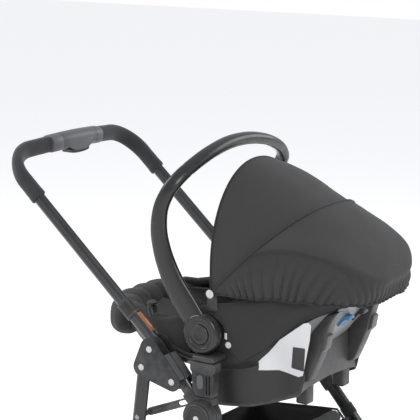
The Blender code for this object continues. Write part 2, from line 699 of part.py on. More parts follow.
def make_console():
    """The moulded console clamped round the middle of the crossbar."""
    middle = side_point(0, HANDLE_MIDDLE)
    half = CONSOLE_WIDTH / 2
    path = [crossbar_point(-half)] + [point for point in handle_x_path(GRIP_START) if abs(point.x) < half * 0.98]
    path += [crossbar_point(half)]
    body = tube("handle_console", path, CONSOLE_DEPTH, CONSOLE_LENGTH_Y, CONSOLE, sides=10)
    lug_half = TRIGGER_HALF + 0.006
    lug = front_plate("console_lug", trigger_outline(lug_half, middle.z - LUG_LOW, middle.z), middle.y - 0.017,
                      middle.y + 0.017)
    body = joined(body, lug)
    pocket = box("trigger_pocket", (-TRIGGER_HALF - GAP, middle.y - 0.0125 - GAP, middle.z - TRIGGER_LOW - 0.01),
                 (TRIGGER_HALF + GAP, middle.y + 0.0125 + GAP, middle.z - TUBE_DEPTH / 2 - 0.002), collection=cutters)
    return smooth(cut(body, handle_bore(), pocket))


def make_trigger():
    middle = side_point(0, HANDLE_MIDDLE)
    top = middle.z - TUBE_DEPTH / 2 - 0.002 - TRIGGER_TRAVEL - 0.0006
    trigger = front_plate("fold_trigger", trigger_outline(TRIGGER_HALF, middle.z - TRIGGER_LOW, top),
                          middle.y - 0.0125, middle.y + 0.0125, PLASTIC)
    return smooth(rounded(trigger, 0.0015))


def handle_place(distance, out=0.0):
    """A (y, z) pair up the handle's side tube from the fold pivot, and out from its front face."""
    run = (Vector(HANDLE_CORNER) - Vector(FOLD_PIVOT)).normalized()
    front = Vector((-run.y, run.x))
    point = Vector(FOLD_PIVOT) + run * distance + front * out
    return (point.x, point.y)


def make_lock_sleeve(label, side):
    start = STRIP_START + STRIP_LENGTH + 0.002
    ends = [side_point(side * HANDLE_X, handle_place(distance)) for distance in (start, start + SLEEVE_LENGTH)]
    sleeve = tube(f"lock_sleeve_{label}", ends, TUBE_DEPTH + 2 * SLEEVE_WALL, TUBE_WIDTH + 2 * SLEEVE_WALL, PLASTIC)
    bore_ends = [side_point(side * HANDLE_X, handle_place(distance)) for distance in (start - 0.01, start + SLEEVE_LENGTH + 0.01)]
    bore = tube("sleeve_bore", bore_ends, TUBE_DEPTH + 2 * GAP, TUBE_WIDTH + 2 * GAP)
    return smooth(cut(sleeve, bore))


# Rear legs with their wheel fittings, the cross rod, brake levers and slotted fold links
FITTING_WIDTH = 0.026
REAR_LEG_END_X = REAR_LEG_X + REAR_LEG_SPLAY
ROD_POINT = toward(REAR_LEG_PIVOT, REAR_LEG_END, 0.398)
ROD_RADIUS = 0.004
BRAKE_PIVOT = (0.232, 0.152)


def rear_leg_x(position):
    share = math.dist(REAR_LEG_PIVOT, position) / math.dist(REAR_LEG_PIVOT, REAR_LEG_END)
    return REAR_LEG_X + REAR_LEG_SPLAY * share


def make_rear_leg(label, side):
    top = toward(REAR_LEG_PIVOT, REAR_LEG_END, -0.016)
    leg = tube(f"rear_leg_{label}", [side_point(side * REAR_LEG_X, top), side_point(side * REAR_LEG_X, REAR_LEG_PIVOT),
                                     side_point(side * REAR_LEG_END_X, REAR_LEG_END)],
               LEG_DEPTH, LEG_WIDTH, GRAPHITE)
    holes = [hole("pivot_hole", REAR_LEG_PIVOT, RIVET_RADIUS + GAP, *mirror_x(side, MIDDLE_PLATE, BRACKET_FACE)),
             hole("rod_hole", ROD_POINT, ROD_RADIUS + GAP, *mirror_x(side, HANDLE_X, rear_leg_x(ROD_POINT)))]
    return smooth(cut(joined(leg, make_link_pin(side)), *holes))


def make_rear_fitting(label, side):
    """The moulded foot that takes the leg's lower end and reaches back to the axle."""
    axle = (REAR_WHEEL_Y, REAR_WHEEL_RADIUS)
    heel = toward(REAR_LEG_END, REAR_LEG_PIVOT, 0.030)
    middle_x = REAR_LEG_END_X
    low, high = mirror_x(side, middle_x - FITTING_WIDTH / 2, middle_x + FITTING_WIDTH / 2)
    arm = side_plate(f"rear_fitting_{label}", rounded_outline([(*axle, 0.019), (*toward(REAR_LEG_END, axle, -0.002), 0.024)]),
                     low, high, PLASTIC)
    socket = tube("leg_sleeve", [side_point(side * rear_leg_x(heel), heel), side_point(side * middle_x, REAR_LEG_END)],
                  LEG_DEPTH + 0.008, LEG_WIDTH + 0.008)
    fitting = joined(arm, socket)
    seat = toward(REAR_LEG_END, REAR_LEG_PIVOT, -GAP)
    above = toward(REAR_LEG_END, REAR_LEG_PIVOT, 0.06)
    bore = tube("leg_bore", [side_point(side * rear_leg_x(above), above), side_point(side * middle_x, seat)],
                LEG_DEPTH + 2 * GAP, LEG_WIDTH + 2 * GAP)
    brake_hole = hole("brake_hole", BRAKE_PIVOT, 0.003 + GAP, low - 0.01, high + 0.01)
    return smooth(joined(cut(fitting, bore, brake_hole), make_rear_axle(side)))


def make_rear_axle(side):
    """The stub axle, with a shoulder inside the wheel and a clipped cap outside it."""
    start, shoulder = REAR_LEG_END_X - 0.003, REAR_LEG_END_X + FITTING_WIDTH / 2 - 0.001
    wheel_half = REAR_TYRE_WIDTH / 2 * HUB_SHARE + GAP
    wheel_in, wheel_out = REAR_WHEEL_X - wheel_half, REAR_WHEEL_X + wheel_half
    profile = [(0, start), (AXLE_RADIUS, start), (AXLE_RADIUS, shoulder), (0.011, shoulder), (0.009, wheel_in),
               (AXLE_RADIUS, wheel_in), (AXLE_RADIUS, wheel_out), (0.0105, wheel_out), (0.009, wheel_out + 0.0022),
               (0, wheel_out + 0.003)]
    return spun_pin("axle", [(radius, side * offset) for radius, offset in profile],
                    side_point(0, (REAR_WHEEL_Y, REAR_WHEEL_RADIUS)), PLASTIC)


def make_cross_rod():
    inner = rear_leg_x(ROD_POINT) - 0.0002
    rod = cylinder("rear_cross_rod", side_point(-inner, ROD_POINT), side_point(inner, ROD_POINT), ROD_RADIUS,
                   GRAPHITE, sides=12)
    return smooth(rod)


def make_brake_lever(label, side):
    """A foot lever on a pin through the wheel fitting, behind the leg."""
    middle_x = REAR_LEG_END_X
    inner = middle_x - FITTING_WIDTH / 2 - 0.0008
    low, high = mirror_x(side, inner - 0.007, inner)
    toe = (BRAKE_PIVOT[0] + 0.052, BRAKE_PIVOT[1] + 0.020)
    arm = side_plate(f"brake_lever_{label}", rounded_outline([(*BRAKE_PIVOT, 0.0095), (*toe, 0.0062)]), low, high, PLASTIC)
    pedal = side_plate("pedal", rounded_outline([(toe[0] - 0.012, toe[1] - 0.0035, 0.0045), (toe[0] + 0.014, toe[1] + 0.005, 0.0045)]),
                       *mirror_x(side, inner - 0.040, inner))
    pin_low, pin_high = mirror_x(side, inner - 0.003, middle_x + FITTING_WIDTH / 2 + 0.0025)
    pin = cylinder("pin", side_point(pin_low, BRAKE_PIVOT), side_point(pin_high, BRAKE_PIVOT), 0.003, sides=12)
    return smooth(joined(arm, pedal, pin))


def make_fold_link(label, side):
    """A flat link pinned to the rear leg; its slot rides on the hub housing's pin as the frame folds."""
    start, end = LINK_LEG_POINT, LINK_HUB_POINT
    far = toward(start, end, math.dist(start, end) + 0.008)
    low, high = mirror_x(side, LINK_X - LINK_THICKNESS / 2, LINK_X + LINK_THICKNESS / 2)
    link = side_plate(f"fold_link_{label}", rounded_outline([(*start, LINK_HALF_WIDTH), (*far, LINK_HALF_WIDTH)], 9),
                      low, high, PLASTIC)
    slot_start = toward(start, end, folded_link_length() - 0.004)
    slot_end = toward(start, end, math.dist(start, end) + 0.0012)
    slot = side_plate("link_slot", rounded_outline([(*slot_start, LINK_PIN_RADIUS + 0.0019), (*slot_end, LINK_PIN_RADIUS + 0.0019)]),
                      low - 0.01, high + 0.01, collection=cutters)
    pin_hole = hole("pin_hole", start, LINK_PIN_RADIUS + GAP, low - 0.01, high + 0.01)
    return smooth(cut(link, slot, pin_hole))


def folded_link_length():
    """Distance from the link's pin on the rear leg to the hub's pin when the frame is folded."""
    arm = Vector(LINK_LEG_POINT) - Vector(REAR_LEG_PIVOT)
    angle = -math.radians(REAR_FOLD)
    turned_arm = Vector((arm.x * math.cos(angle) - arm.y * math.sin(angle),
                         arm.x * math.sin(angle) + arm.y * math.cos(angle)))
    return (Vector(REAR_LEG_PIVOT) + turned_arm - Vector(LINK_HUB_POINT)).length


def make_link_pin(side):
    """The shouldered pin that carries a fold link on the inner face of its rear leg."""
    inner = LINK_X - LINK_THICKNESS / 2 - GAP
    shoulder, outer = LINK_X + LINK_THICKNESS / 2 + GAP, rear_leg_x(LINK_LEG_POINT) + LEG_WIDTH / 2
    profile = [(0, inner - 0.002), (0.006, inner - 0.002), (0.006, inner), (LINK_PIN_RADIUS, inner),
               (LINK_PIN_RADIUS, shoulder), (0.0055, shoulder), (0.0055, outer + 0.0018), (0, outer + 0.0018)]
    return spun_pin("link_pin", [(radius, side * offset) for radius, offset in profile],
                    side_point(0, LINK_LEG_POINT), GRAPHITE, steps=9)


# Wheels: a spoked rim on an axle pin, with a separate tyre
WHEEL_STEPS = 25
WHEEL_START = math.pi / WHEEL_STEPS     # the wheels' first corners, from straight down


def make_tyre(name, centre, radius, width):
    """A tyre whose crown has one of its flats on the floor, under the axle."""
    depth = radius * TYRE_DEPTH_SHARE
    inner, half = radius - depth, width / 2
    crown = radius / math.cos(WHEEL_START)
    profile = [(inner + GAP, -half * 0.80), (radius - depth * 0.42, -half), (crown, -half * 0.45),
               (crown, half * 0.45), (radius - depth * 0.42, half), (inner + GAP, half * 0.80)]
    return smooth(turned(name, profile, centre, RUBBER, steps=WHEEL_STEPS, start=WHEEL_START))


def make_rim(name, centre, radius, width):
    """Rim ring, hub and forked spokes in one moulding, with a bore for the axle."""
    inner = radius * (1 - TYRE_DEPTH_SHARE)
    wall, half, hub, hub_half = radius * 0.085, width / 2 * 0.80, radius * 0.19, width / 2 * HUB_SHARE
    ring = turned(name, [(inner, -half), (inner, half), (inner - wall, half * 0.8), (inner - wall, -half * 0.8)],
                  centre, PLASTIC, steps=WHEEL_STEPS, start=WHEEL_START)
    core = cylinder("hub", centre - Vector((hub_half, 0, 0)), centre + Vector((hub_half, 0, 0)), hub, sides=12)
    spoke_half, trunk, branch = width * 0.2, radius * 0.075, radius * 0.045
    fork_at, reach = radius * 0.44, inner - wall * 0.5
    spokes = []
    for index in range(SPOKES):
        turn = 2 * math.pi * index / SPOKES + math.pi / 2
        outline = [(hub * 0.5, -trunk), (fork_at, -trunk * 0.8), (reach, -reach * 0.27 - branch),
                   (reach, -reach * 0.27 + branch), (fork_at + trunk * 1.3, 0), (reach, reach * 0.27 - branch),
                   (reach, reach * 0.27 + branch), (fork_at, trunk * 0.8), (hub * 0.5, trunk)]
        limit = math.hypot(reach, branch)
        outline = [(u * min(1, limit / math.hypot(u, v)), v * min(1, limit / math.hypot(u, v))) for u, v in outline]
        bm = bmesh.new()
        face = bm.faces.new([bm.verts.new((-spoke_half, u * math.cos(turn) - v * math.sin(turn),
                                           u * math.sin(turn) + v * math.cos(turn))) for u, v in outline])
        grown = bmesh.ops.extrude_face_region(bm, geom=[face])
        moved = [item for item in grown["geom"] if isinstance(item, bmesh.types.BMVert)]
        bmesh.ops.translate(bm, verts=moved, vec=(2 * spoke_half, 0, 0))
        bmesh.ops.translate(bm, verts=bm.verts, vec=centre)
        spokes.append(finish_bmesh(bm, "spoke"))
    rim = joined(ring, core, *spokes)
    bore = cylinder("axle_bore", centre - Vector((width, 0, 0)), centre + Vector((width, 0, 0)), AXLE_RADIUS + GAP,
                    sides=10, collection=cutters)
    return smooth(cut(rim, bore))


def make_wheel(label, centre, radius, width):
    rim = make_rim(f"{label}_rim", centre, radius, width)
    tyre = make_tyre(f"{label}_tyre", centre, radius, width)
    for piece in (rim, tyre):
        set_origin(piece, centre)


# Casters: a housing on the front leg, and a swivelling fork with a trailing wheel
BARREL_RADIUS = 0.0165
BARREL_LOW = FRONT_WHEEL_RADIUS * 2 + 0.040
BARREL_HIGH = FRONT_LEG_END[1] + 0.022
STEM_RADIUS = 0.006


def make_caster_housing(label, side):
    x = side * CASTER_X
    base, top = Vector((x, HUB_Y + CASTER_Y, BARREL_LOW)), Vector((x, HUB_Y + CASTER_Y, BARREL_HIGH))
    barrel = cylinder(f"caster_housing_{label}", base, top, BARREL_RADIUS, PLASTIC, sides=10)
    cap = cylinder("cap", top - Vector((0, 0, 0.002)), top + Vector((0, 0, 0.005)), BARREL_RADIUS * 0.98,
                   sides=10, end_radius=BARREL_RADIUS * 0.6)
    whole = math.dist((0, HUB_Z), FRONT_LEG_END)
    socket = tube("leg_socket", [front_leg_point(side, whole - 0.030), front_leg_point(side, whole + 0.016)],
                  LEG_DEPTH + 0.008, LEG_WIDTH + 0.008)
    housing = joined(barrel, cap, socket)
    bore = tube("leg_bore", [front_leg_point(side, whole - 0.06), front_leg_point(side, whole + GAP)],
                LEG_DEPTH + 2 * GAP, LEG_WIDTH + 2 * GAP)
    housing = cut(housing, bore)
    stem = cylinder("stem_bore", base - Vector((0, 0, 0.01)), base + Vector((0, 0, 0.036)), STEM_RADIUS + TURN_FIT,
                    sides=10, collection=cutters)
    return smooth(cut(housing, stem))


def make_fork(label, side):
    """Stem, crown and two arms that carry the wheel's axle behind the swivel."""
    x = side * CASTER_X
    axle = (CASTER_Y + CASTER_TRAIL, FRONT_WHEEL_RADIUS)
    crown_low = 2 * FRONT_WHEEL_RADIUS + 0.006
    arm_in = FRONT_TYRE_WIDTH / 2 + FORK_CLEARANCE
    outline = rounded_outline([(*axle, 0.0125), (CASTER_Y, crown_low + 0.012, 0.017)])
    arm = side_plate(f"caster_fork_{label}", outline, x - arm_in - FORK_ARM, x - arm_in, PLASTIC)
    other = side_plate("arm", outline, x + arm_in, x + arm_in + FORK_ARM)
    middle = Vector((x, HUB_Y + CASTER_Y, 0))
    crown = side_plate("crown", rounded_outline([(CASTER_Y + 0.006, crown_low + 0.014, 0.014), (CASTER_Y - 0.004, crown_low + 0.014, 0.014)]),
                       x - arm_in - FORK_ARM / 2, x + arm_in + FORK_ARM / 2)
    boss = cylinder("boss", middle + Vector((0, 0, crown_low + 0.01)), middle + Vector((0, 0, BARREL_LOW - GAP)),
                    BARREL_RADIUS, sides=10)
    stem = cylinder("stem", middle + Vector((0, 0, crown_low + 0.01)), middle + Vector((0, 0, BARREL_LOW + 0.034)),
                    STEM_RADIUS, sides=10)
    axle_pin = cylinder("axle", side_point(x - arm_in - FORK_ARM - 0.002, axle),
                        side_point(x + arm_in + FORK_ARM + 0.002, axle), AXLE_RADIUS, sides=10)
    tyre_room = cylinder("tyre_room", side_point(x - arm_in, axle), side_point(x + arm_in, axle),
                         FRONT_WHEEL_RADIUS + 0.003, sides=20, collection=cutters)
    fork = joined(arm, other, crown, boss, stem)
    fork = joined(cut(fork, tyre_room), axle_pin)
    return smooth(fork)


# Infant carrier: every soft and hard layer follows one bowl, given by its rim, its floor and its plan
RIM_HEIGHTS = ((-0.338, 0.832), (-0.25, 0.812), (-0.15, 0.782), (-0.05, 0.752), (0.03, 0.738), (0.11, 0.732),
               (0.18, 0.738), (0.25, 0.736), (0.322, 0.700))
FLOOR_HEIGHTS = ((-0.338, 0.790), (-0.276, 0.734), (-0.181, 0.657), (-0.09, 0.607), (0.02, 0.585), (0.12, 0.590),
                 (0.22, 0.610), (0.322, 0.655))
COVER_EDGE = ((-0.338, 0.806), (-0.232, 0.755), (-0.17, 0.708), (-0.113, 0.663), (-0.053, 0.626), (0.017, 0.614),
              (0.09, 0.616), (0.14, 0.640), (0.20, 0.655), (0.322, 0.672))
WALL_TAPER = ((0.0, 1.0), (0.5, 0.985), (0.80, 0.94), (0.94, 0.83), (1.0, 0.60))
BOWL_POINTS = 24
HEAD_POWER, FOOT_POWER = 2.7, 2.5
PAD_THICKNESS = 0.014
PAD_CLEARANCE = 0.0035       # to the shell's inner face
COVER_FLAP = 0.16           # how far the cover reaches down inside, as a share of the depth


def read_profile(profile, value):
    """The profile's height at a value, with straight runs between its points."""
    if value <= profile[0][0]:
        return profile[0][1]
    for (start, low), (end, high) in zip(profile, profile[1:]):
        if value <= end:
            return low + (high - low) * (value - start) / (end - start)
    return profile[-1][1]


def bowl_ring(depth, inset, lift=0.0, narrow=1.0):
    """One loop of the carrier's bowl; depth is 0 at the rim and 1 at the floor, or a function of y."""
    ring = []
    for index in range(BOWL_POINTS):
        angle = 2 * math.pi * index / BOWL_POINTS
        across, along = math.cos(angle), math.sin(angle)
        power = FOOT_POWER if along > 0 else HEAD_POWER
        length = SHELL_FOOT if along > 0 else -SHELL_HEAD
        out_x = math.copysign(abs(across) ** (2 / power), across)
        out_y = math.copysign(abs(along) ** (2 / power), along)
        share = depth(length * out_y) if callable(depth) else depth
        taper = read_profile(WALL_TAPER, share) * narrow
        x, y = (SHELL_HALF_WIDTH - inset) * out_x * taper, (length - inset) * out_y * taper
        rim, floor = (read_profile(heights, length * out_y * taper) for heights in (RIM_HEIGHTS, FLOOR_HEIGHTS))
        z = rim * (1 - share) + (floor + max(inset, 0)) * share + lift
        if inset < 0:
            z += inset * share
        ring.append(Vector((x, HUB_Y + y, z)))
    return ring


BOWL_DEPTHS = (1.0, 0.94, 0.80, 0.5, 0.0)


def bowl_skin(inset, first=0.0, narrow_floor=(0.4,)):
    """Loops from the middle of the floor up to the rim."""
    floor = [bowl_ring(1.0, inset, narrow=share) for share in narrow_floor]
    return floor + [bowl_ring(max(first, depth), inset) for depth in BOWL_DEPTHS if depth > first] + [bowl_ring(first, inset)]


def make_shell():
    outer = bowl_skin(0.0)
    inner = bowl_skin(SHELL_WALL)
    return smooth(loft("carrier_shell", outer + inner[::-1], SOFT_PLASTIC))


def edge_depth(share):
    """Depth on the bowl, as a function of y, at a share of the way down to the cover's lower edge."""
    def depth(y):
        rim, floor = read_profile(RIM_HEIGHTS, y), read_profile(FLOOR_HEIGHTS, y)
        return min(0.97, share * (rim - read_profile(COVER_EDGE, y)) / (rim - floor))
    return depth


def make_seat_cover():
    """Fabric that hooks over the rim: a short flap inside and a skirt outside."""
    near, far = COVER_CLEARANCE, COVER_CLEARANCE + COVER_THICKNESS
    rings = [bowl_ring(edge_depth(share), -far) for share in SKIRT_SHARES]
    rings.append(bowl_ring(0.0, -far * 0.4, lift=far * 0.85))
    rings.append(bowl_ring(0.0, SHELL_WALL + far * 0.4, lift=far * 0.85))
    rings += [bowl_ring(depth, SHELL_WALL + far) for depth in (0.0, COVER_FLAP)]
    rings += [bowl_ring(depth, SHELL_WALL + near) for depth in (COVER_FLAP, 0.0)]
    rings.append(bowl_ring(0.0, SHELL_WALL / 2, lift=RIM_CLEARANCE))
    rings += [bowl_ring(edge_depth(share), -near) for share in SKIRT_SHARES[::-1]]
    return smooth(loft("seat_cover", rings + [rings[0]], FABRIC, closed_ends=False))


def make_seat_pad():
    outer = bowl_skin(SHELL_WALL + PAD_CLEARANCE, first=COVER_FLAP + 0.04)
    inner = bowl_skin(SHELL_WALL + PAD_CLEARANCE + PAD_THICKNESS, first=COVER_FLAP + 0.07)
    return smooth(loft("seat_pad", outer + inner[::-1], FABRIC))


BASE_X = SHELL_HALF_WIDTH - 0.016       # outer faces of the base's side walls
BASE_WALL = 0.008
BASE_SIDE = ((0.046, 0.640), (0.046, 0.540), (0.034, 0.527), (0.012, 0.523), (-0.030, 0.528), (-0.086, 0.537),
             (-0.140, 0.554), (-0.200, 0.577), (-0.205, 0.60), (-0.205, 0.760))
RAIL = ((-0.200, 0.760), (-0.200, 0.640), (-0.208, 0.627), (-0.229, 0.624), (-0.246, 0.655), (-0.259, 0.691),
        (-0.268, 0.738), (-0.262, 0.760))
RAIL_WIDTH = 0.030


def make_base():
    """Side walls with curved lower edges, two back rails, and cross walls, trimmed to the shell and the cover."""
    pieces = []
    for label, side in SIDES:
        pieces.append(side_plate("carrier_base", BASE_SIDE, *mirror_x(side, BASE_X - BASE_WALL, BASE_X), SOFT_PLASTIC))
        pieces.append(side_plate("rail", RAIL, *mirror_x(side, BASE_X - RAIL_WIDTH, BASE_X - 0.001), SOFT_PLASTIC))
    for y_low, y_high, z_low, z_high in ((-0.200, -0.192, 0.580, 0.760), (0.030, 0.038, 0.535, 0.640),
                                         (-0.090, -0.083, 0.545, 0.700)):
        pieces.append(box("cross_wall", (-BASE_X + 0.002, HUB_Y + y_low, z_low), (BASE_X - 0.002, HUB_Y + y_high, z_high)))
    base = joined(pieces[0], *pieces[1:])
    shell_room = loft("shell_room", [bowl_ring(1.0, -GAP, narrow=0.4)] + bowl_skin(-GAP)[1:] + [bowl_ring(0.0, -GAP, lift=0.06)],
                      collection=cutters)
    far = COVER_CLEARANCE + COVER_THICKNESS + GAP * 2
    skirt = [bowl_ring(edge_depth(share * 1.012), -far) for share in SKIRT_SHARES]
    cover_room = loft("cover_room", skirt + [bowl_ring(0.0, -far, lift=0.07)], collection=cutters)
    base = cut(base, shell_room)
    return smooth(cut(base, cover_room))


# Shell details: seats on the adapter posts and the bosses on which the carry handle turns
LUG_HEIGHT = 0.0125
BOSS_RADIUS = 0.010
BOSS_END = SHELL_HALF_WIDTH + 0.0150
HUB_INNER_FACE = SHELL_HALF_WIDTH + 0.0085


def shell_fixings(side, grow=0.0, collection=parts):
    """The block that stands on the adapter post, and the carry handle's boss, on one side."""
    low, high = mirror_x(side, SHELL_HALF_WIDTH - 0.009, POST_X + POST_WIDTH_X / 2 + grow)
    block = box("post_block", (low, HUB_Y - POST_WIDTH_Y / 2 + 0.002 - grow, POST_TOP + GAP - grow),
                (high, HUB_Y + POST_WIDTH_Y / 2 - 0.002 + grow, POST_TOP + GAP + LUG_HEIGHT + grow), collection=collection)
    start, end = mirror_x(side, SHELL_HALF_WIDTH - 0.008, BOSS_END + grow)
    boss = cylinder("boss", side_point(start, CARRIER_HUB), side_point(end, CARRIER_HUB), BOSS_RADIUS + grow,
                    sides=12, collection=collection)
    return [block, boss]


def add_shell_fixings(shell, cover):
    for label, side in SIDES:
        shell = joined(shell, *shell_fixings(side))
        cover = cut(cover, *shell_fixings(side, grow=2 * GAP, collection=cutters))
    return smooth(shell), smooth(cover)


def make_belt_guide(label, side):
    """A hooked guide on the slanting back of the shell."""
    low_point, high_point = Vector((-0.200, 0.672)), Vector((-0.250, 0.712))
    run = (high_point - low_point).normalized()
    out = Vector((-run.y, run.x)) * (1 if -run.y < 0 else -1)
    profile = ((0.004, -0.0016), (0.044, -0.0016), (0.052, 0.010), (0.050, 0.015), (0.040, 0.013), (0.034, 0.006),
               (0.004, 0.005))
    outline = [tuple(low_point + run * along + out * height) for along, height in profile]
    return side_plate(f"belt_guide_{label}", outline, *mirror_x(side, 0.070, 0.094), BLUE)


# Hood: two stiffened fabric panels on one pivot; the front panel nests under the rear one
HOOD_REACH = ((-5.0, 0.262), (44.0, 0.265), (62.0, 0.303), (75.0, 0.340), (83.0, 0.345), (87.0, 0.335),
              (92.0, 0.303), (97.0, 0.256))
HOOD_STEPS = 16
HOOD_PIVOT_NOTCH = 0.10     # radians of the arch left open round the pivot
HOOD_POWER = 3.2
HEM_ANGLE, HEM_TUCK = 87.0, 5.0
FRONT_OVERLAP = 5.0


def hood_point(angle, turn, inset, reach=None):
    """A point on the hood: angle back from upright in degrees, turn 0 to pi from the left side to the right."""
    radius = (read_profile(HOOD_REACH, angle) if reach is None else reach) - inset
    across, up = math.cos(turn), math.sin(turn)
    x = (HOOD_HALF_WIDTH - inset) * math.copysign(abs(across) ** (2 / HOOD_POWER), across)
    out = radius * abs(up) ** (2 / HOOD_POWER)
    lean = math.radians(angle)
    return side_point(x, (HOOD_PIVOT[0] - out * math.sin(lean), HOOD_PIVOT[1] + out * math.cos(lean)))


def hood_panel(name, first, last_angle, rows, inset, reach=None):
    rings = []
    turns = [HOOD_PIVOT_NOTCH + (math.pi - 2 * HOOD_PIVOT_NOTCH) * step / HOOD_STEPS for step in range(HOOD_STEPS + 1)]
    for row in range(rows + 1):
        share = row / rows
        outer = [hood_point(first + (last_angle(turn) - first) * share, turn, inset, reach) for turn in turns]
        inner = [hood_point(first + (last_angle(turn) - first) * share, turn, inset + HOOD_WALL, reach) for turn in turns]
        rings.append(outer + inner[::-1])
    return smooth(loft(name, rings, FABRIC, ends_from=(HOOD_STEPS, HOOD_STEPS + 1)))


def make_hood_rear():
    return hood_panel("hood_rear", HOOD_SEAM_ANGLE, lambda turn: HEM_ANGLE + HEM_TUCK * math.sin(turn) ** 2, 7, 0.0)


def make_hood_front():
    panel = hood_panel("hood_front", HOOD_FRONT_ANGLE, lambda turn: HOOD_SEAM_ANGLE + FRONT_OVERLAP, 5,
                       HOOD_WALL + 0.0008, reach=read_profile(HOOD_REACH, HOOD_SEAM_ANGLE))
    return set_origin(panel, side_point(0, HOOD_PIVOT))


MOUNT_INNER = SHELL_HALF_WIDTH + COVER_CLEARANCE + COVER_THICKNESS + 0.0005
MOUNT_OUTER = HOOD_HALF_WIDTH - 2 * HOOD_WALL - 0.0008 - 0.0007


def make_hood_mount(label, side):
    """An ear that stands on the shell's rim and carries the hood's pivot, with a round snap outside."""
    ear = side_plate(f"hood_mount_{label}", rounded_outline([(*HOOD_PIVOT, 0.011), (-0.012, 0.744, 0.007), (0.002, 0.744, 0.007)]),
                     *mirror_x(side, MOUNT_INNER, MOUNT_OUTER), SOFT_PLASTIC)
    face = HOOD_HALF_WIDTH + 0.0006
    profile = [(0, MOUNT_OUTER - 0.002), (0.0045, MOUNT_OUTER - 0.002), (0.0045, face), (0.0095, face),
               (0.0095, face + 0.0014), (0.0075, face + 0.0030), (0, face + 0.0034)]
    pin = spun_pin("pin", [(radius, side * offset) for radius, offset in profile], side_point(0, HOOD_PIVOT), PALE,
                   steps=14)
    return smooth(joined(ear, pin))


# Carry handle: an arch of changing section on two round hubs
CARRY_X = SHELL_HALF_WIDTH + 0.018
CARRY_PATH = (   # share of CARRY_X, y, z, width in the side view, thickness across it
    (1.0, 0.014, 0.690, 0.050, 0.017), (1.0, 0.037, 0.748, 0.052, 0.017), (1.0, 0.066, 0.792, 0.044, 0.018),
    (1.0, 0.093, 0.838, 0.037, 0.019), (0.993, 0.112, 0.887, 0.034, 0.020), (0.9766, 0.121, 0.935, 0.032, 0.021),
    (0.9346, 0.123, 0.980, 0.031, 0.022), (0.8411, 0.119, 1.015, 0.030, 0.023), (0.7009, 0.112, 1.037, 0.030, 0.024),
    (0.4673, 0.103, 1.051, 0.030, 0.025), (0.2336, 0.0985, 1.0575, 0.030, 0.026), (0.0, 0.097, CARRY_TOP, 0.030, 0.026))
CARRY_SIDES = 10


def carry_rings():
    path = [(-share, *rest) for share, *rest in CARRY_PATH] + list(CARRY_PATH[-2::-1])
    path = [(CARRY_X * share, *rest) for share, *rest in path]
    centres = [side_point(x, (y, z)) for x, y, z, *section in path]
    rings = []
    for index, (x, y, z, width, thick) in enumerate(path):
        ahead = centres[min(index + 1, len(path) - 1)] - centres[max(index - 1, 0)]
        side_run = Vector((0, ahead.y, ahead.z)) * (1 if x < 0 else -1)
        if abs(x) < 0.16:
            side_run = Vector((0, -0.2, 1.0))
        face = Vector((0, side_run.z, -side_run.y)).normalized()
        ahead.normalize()
        face = (face - ahead * face.dot(ahead)).normalized()
        out = ahead.cross(face)
        ring = []
        for step in range(CARRY_SIDES):
            angle = 2 * math.pi * step / CARRY_SIDES
            across, up = math.cos(angle), math.sin(angle)
            u = width / 2 * math.copysign(abs(across) ** 0.8, across)
            v = thick / 2 * math.copysign(abs(up) ** 0.8, up)
            ring.append(centres[index] + face * u + out * v)
        rings.append(ring)
    return rings


def make_carry_handle():
    handle = loft("carry_handle", carry_rings(), SOFT_PLASTIC)
    hubs, bores = [], []
    face, ring = CARRIER_HUB_FACE, CARRIER_HUB_RADIUS
    for label, side in SIDES:
        profile = [(0, HUB_INNER_FACE), (ring, HUB_INNER_FACE), (ring, face - 0.0040), (ring - 0.0020, face - 0.0010),
                   (ring - 0.0050, face), (ring - 0.0110, face), (ring - 0.0130, face - 0.0015), (0, face - 0.0015)]
        hubs.append(spun_pin("hub", [(r, side * offset) for r, offset in profile], side_point(0, CARRIER_HUB),
                             SOFT_PLASTIC, steps=20))
        start, end = mirror_x(side, HUB_INNER_FACE - 0.002, BOSS_END + 0.0006)
        bores.append(cylinder("boss_bore", side_point(start, CARRIER_HUB), side_point(end, CARRIER_HUB),
                              BOSS_RADIUS + TURN_FIT, sides=12, collection=cutters))
        start, end = mirror_x(side, face - 0.0070, face + 0.004)
        bores.append(cylinder("button_bore", side_point(start, CARRIER_HUB), side_point(end, CARRIER_HUB),
                              BUTTON_RADIUS + GAP, sides=20, collection=cutters))
    handle = cut(joined(handle, *hubs), *bores)
    return set_origin(smooth(handle), side_point(0, CARRIER_HUB))


BUTTON_RADIUS = 0.021


def make_hub_button(label, side):
    face = CARRIER_HUB_FACE
    profile = [(0, face - 0.0036), (BUTTON_RADIUS, face - 0.0036), (BUTTON_RADIUS, face - 0.0002),
               (BUTTON_RADIUS - 0.0015, face + 0.0010), (0.0135, face + 0.0010), (0.012, face), (0, face)]
    return smooth(spun_pin(f"hub_button_{label}", [(r, side * offset) for r, offset in profile],
                           side_point(0, CARRIER_HUB), SOFT_PLASTIC, steps=20))


# Harness: two shoulder straps, a lap strap and a crotch strap, sewn together under the buckle
STRAP_WIDTH, STRAP_THICKNESS, STRAP_LIFT = 0.030, 0.0018, 0.0012
SHOULDER_X, LAP_HALF = 0.040, 0.085     # middle of a shoulder strap, and half the lap strap's length
STRAP_TOP, STRAP_FOOT = -0.175, 0.110
BUCKLE_Y = 0.035


def surface_below(thing):
    """A function that gives the height of the object's top surface at (x, y), y counted from the hub axis."""
    mesh = thing.data
    places = [thing.matrix_world @ vertex.co for vertex in mesh.vertices]
    tree = BVHTree.FromPolygons(places, [tuple(face.vertices) for face in mesh.polygons])

    def height(x, y):
        return tree.ray_cast(side_point(x, (y, 2.0)), Vector((0, 0, -1)))[0].z
    return height


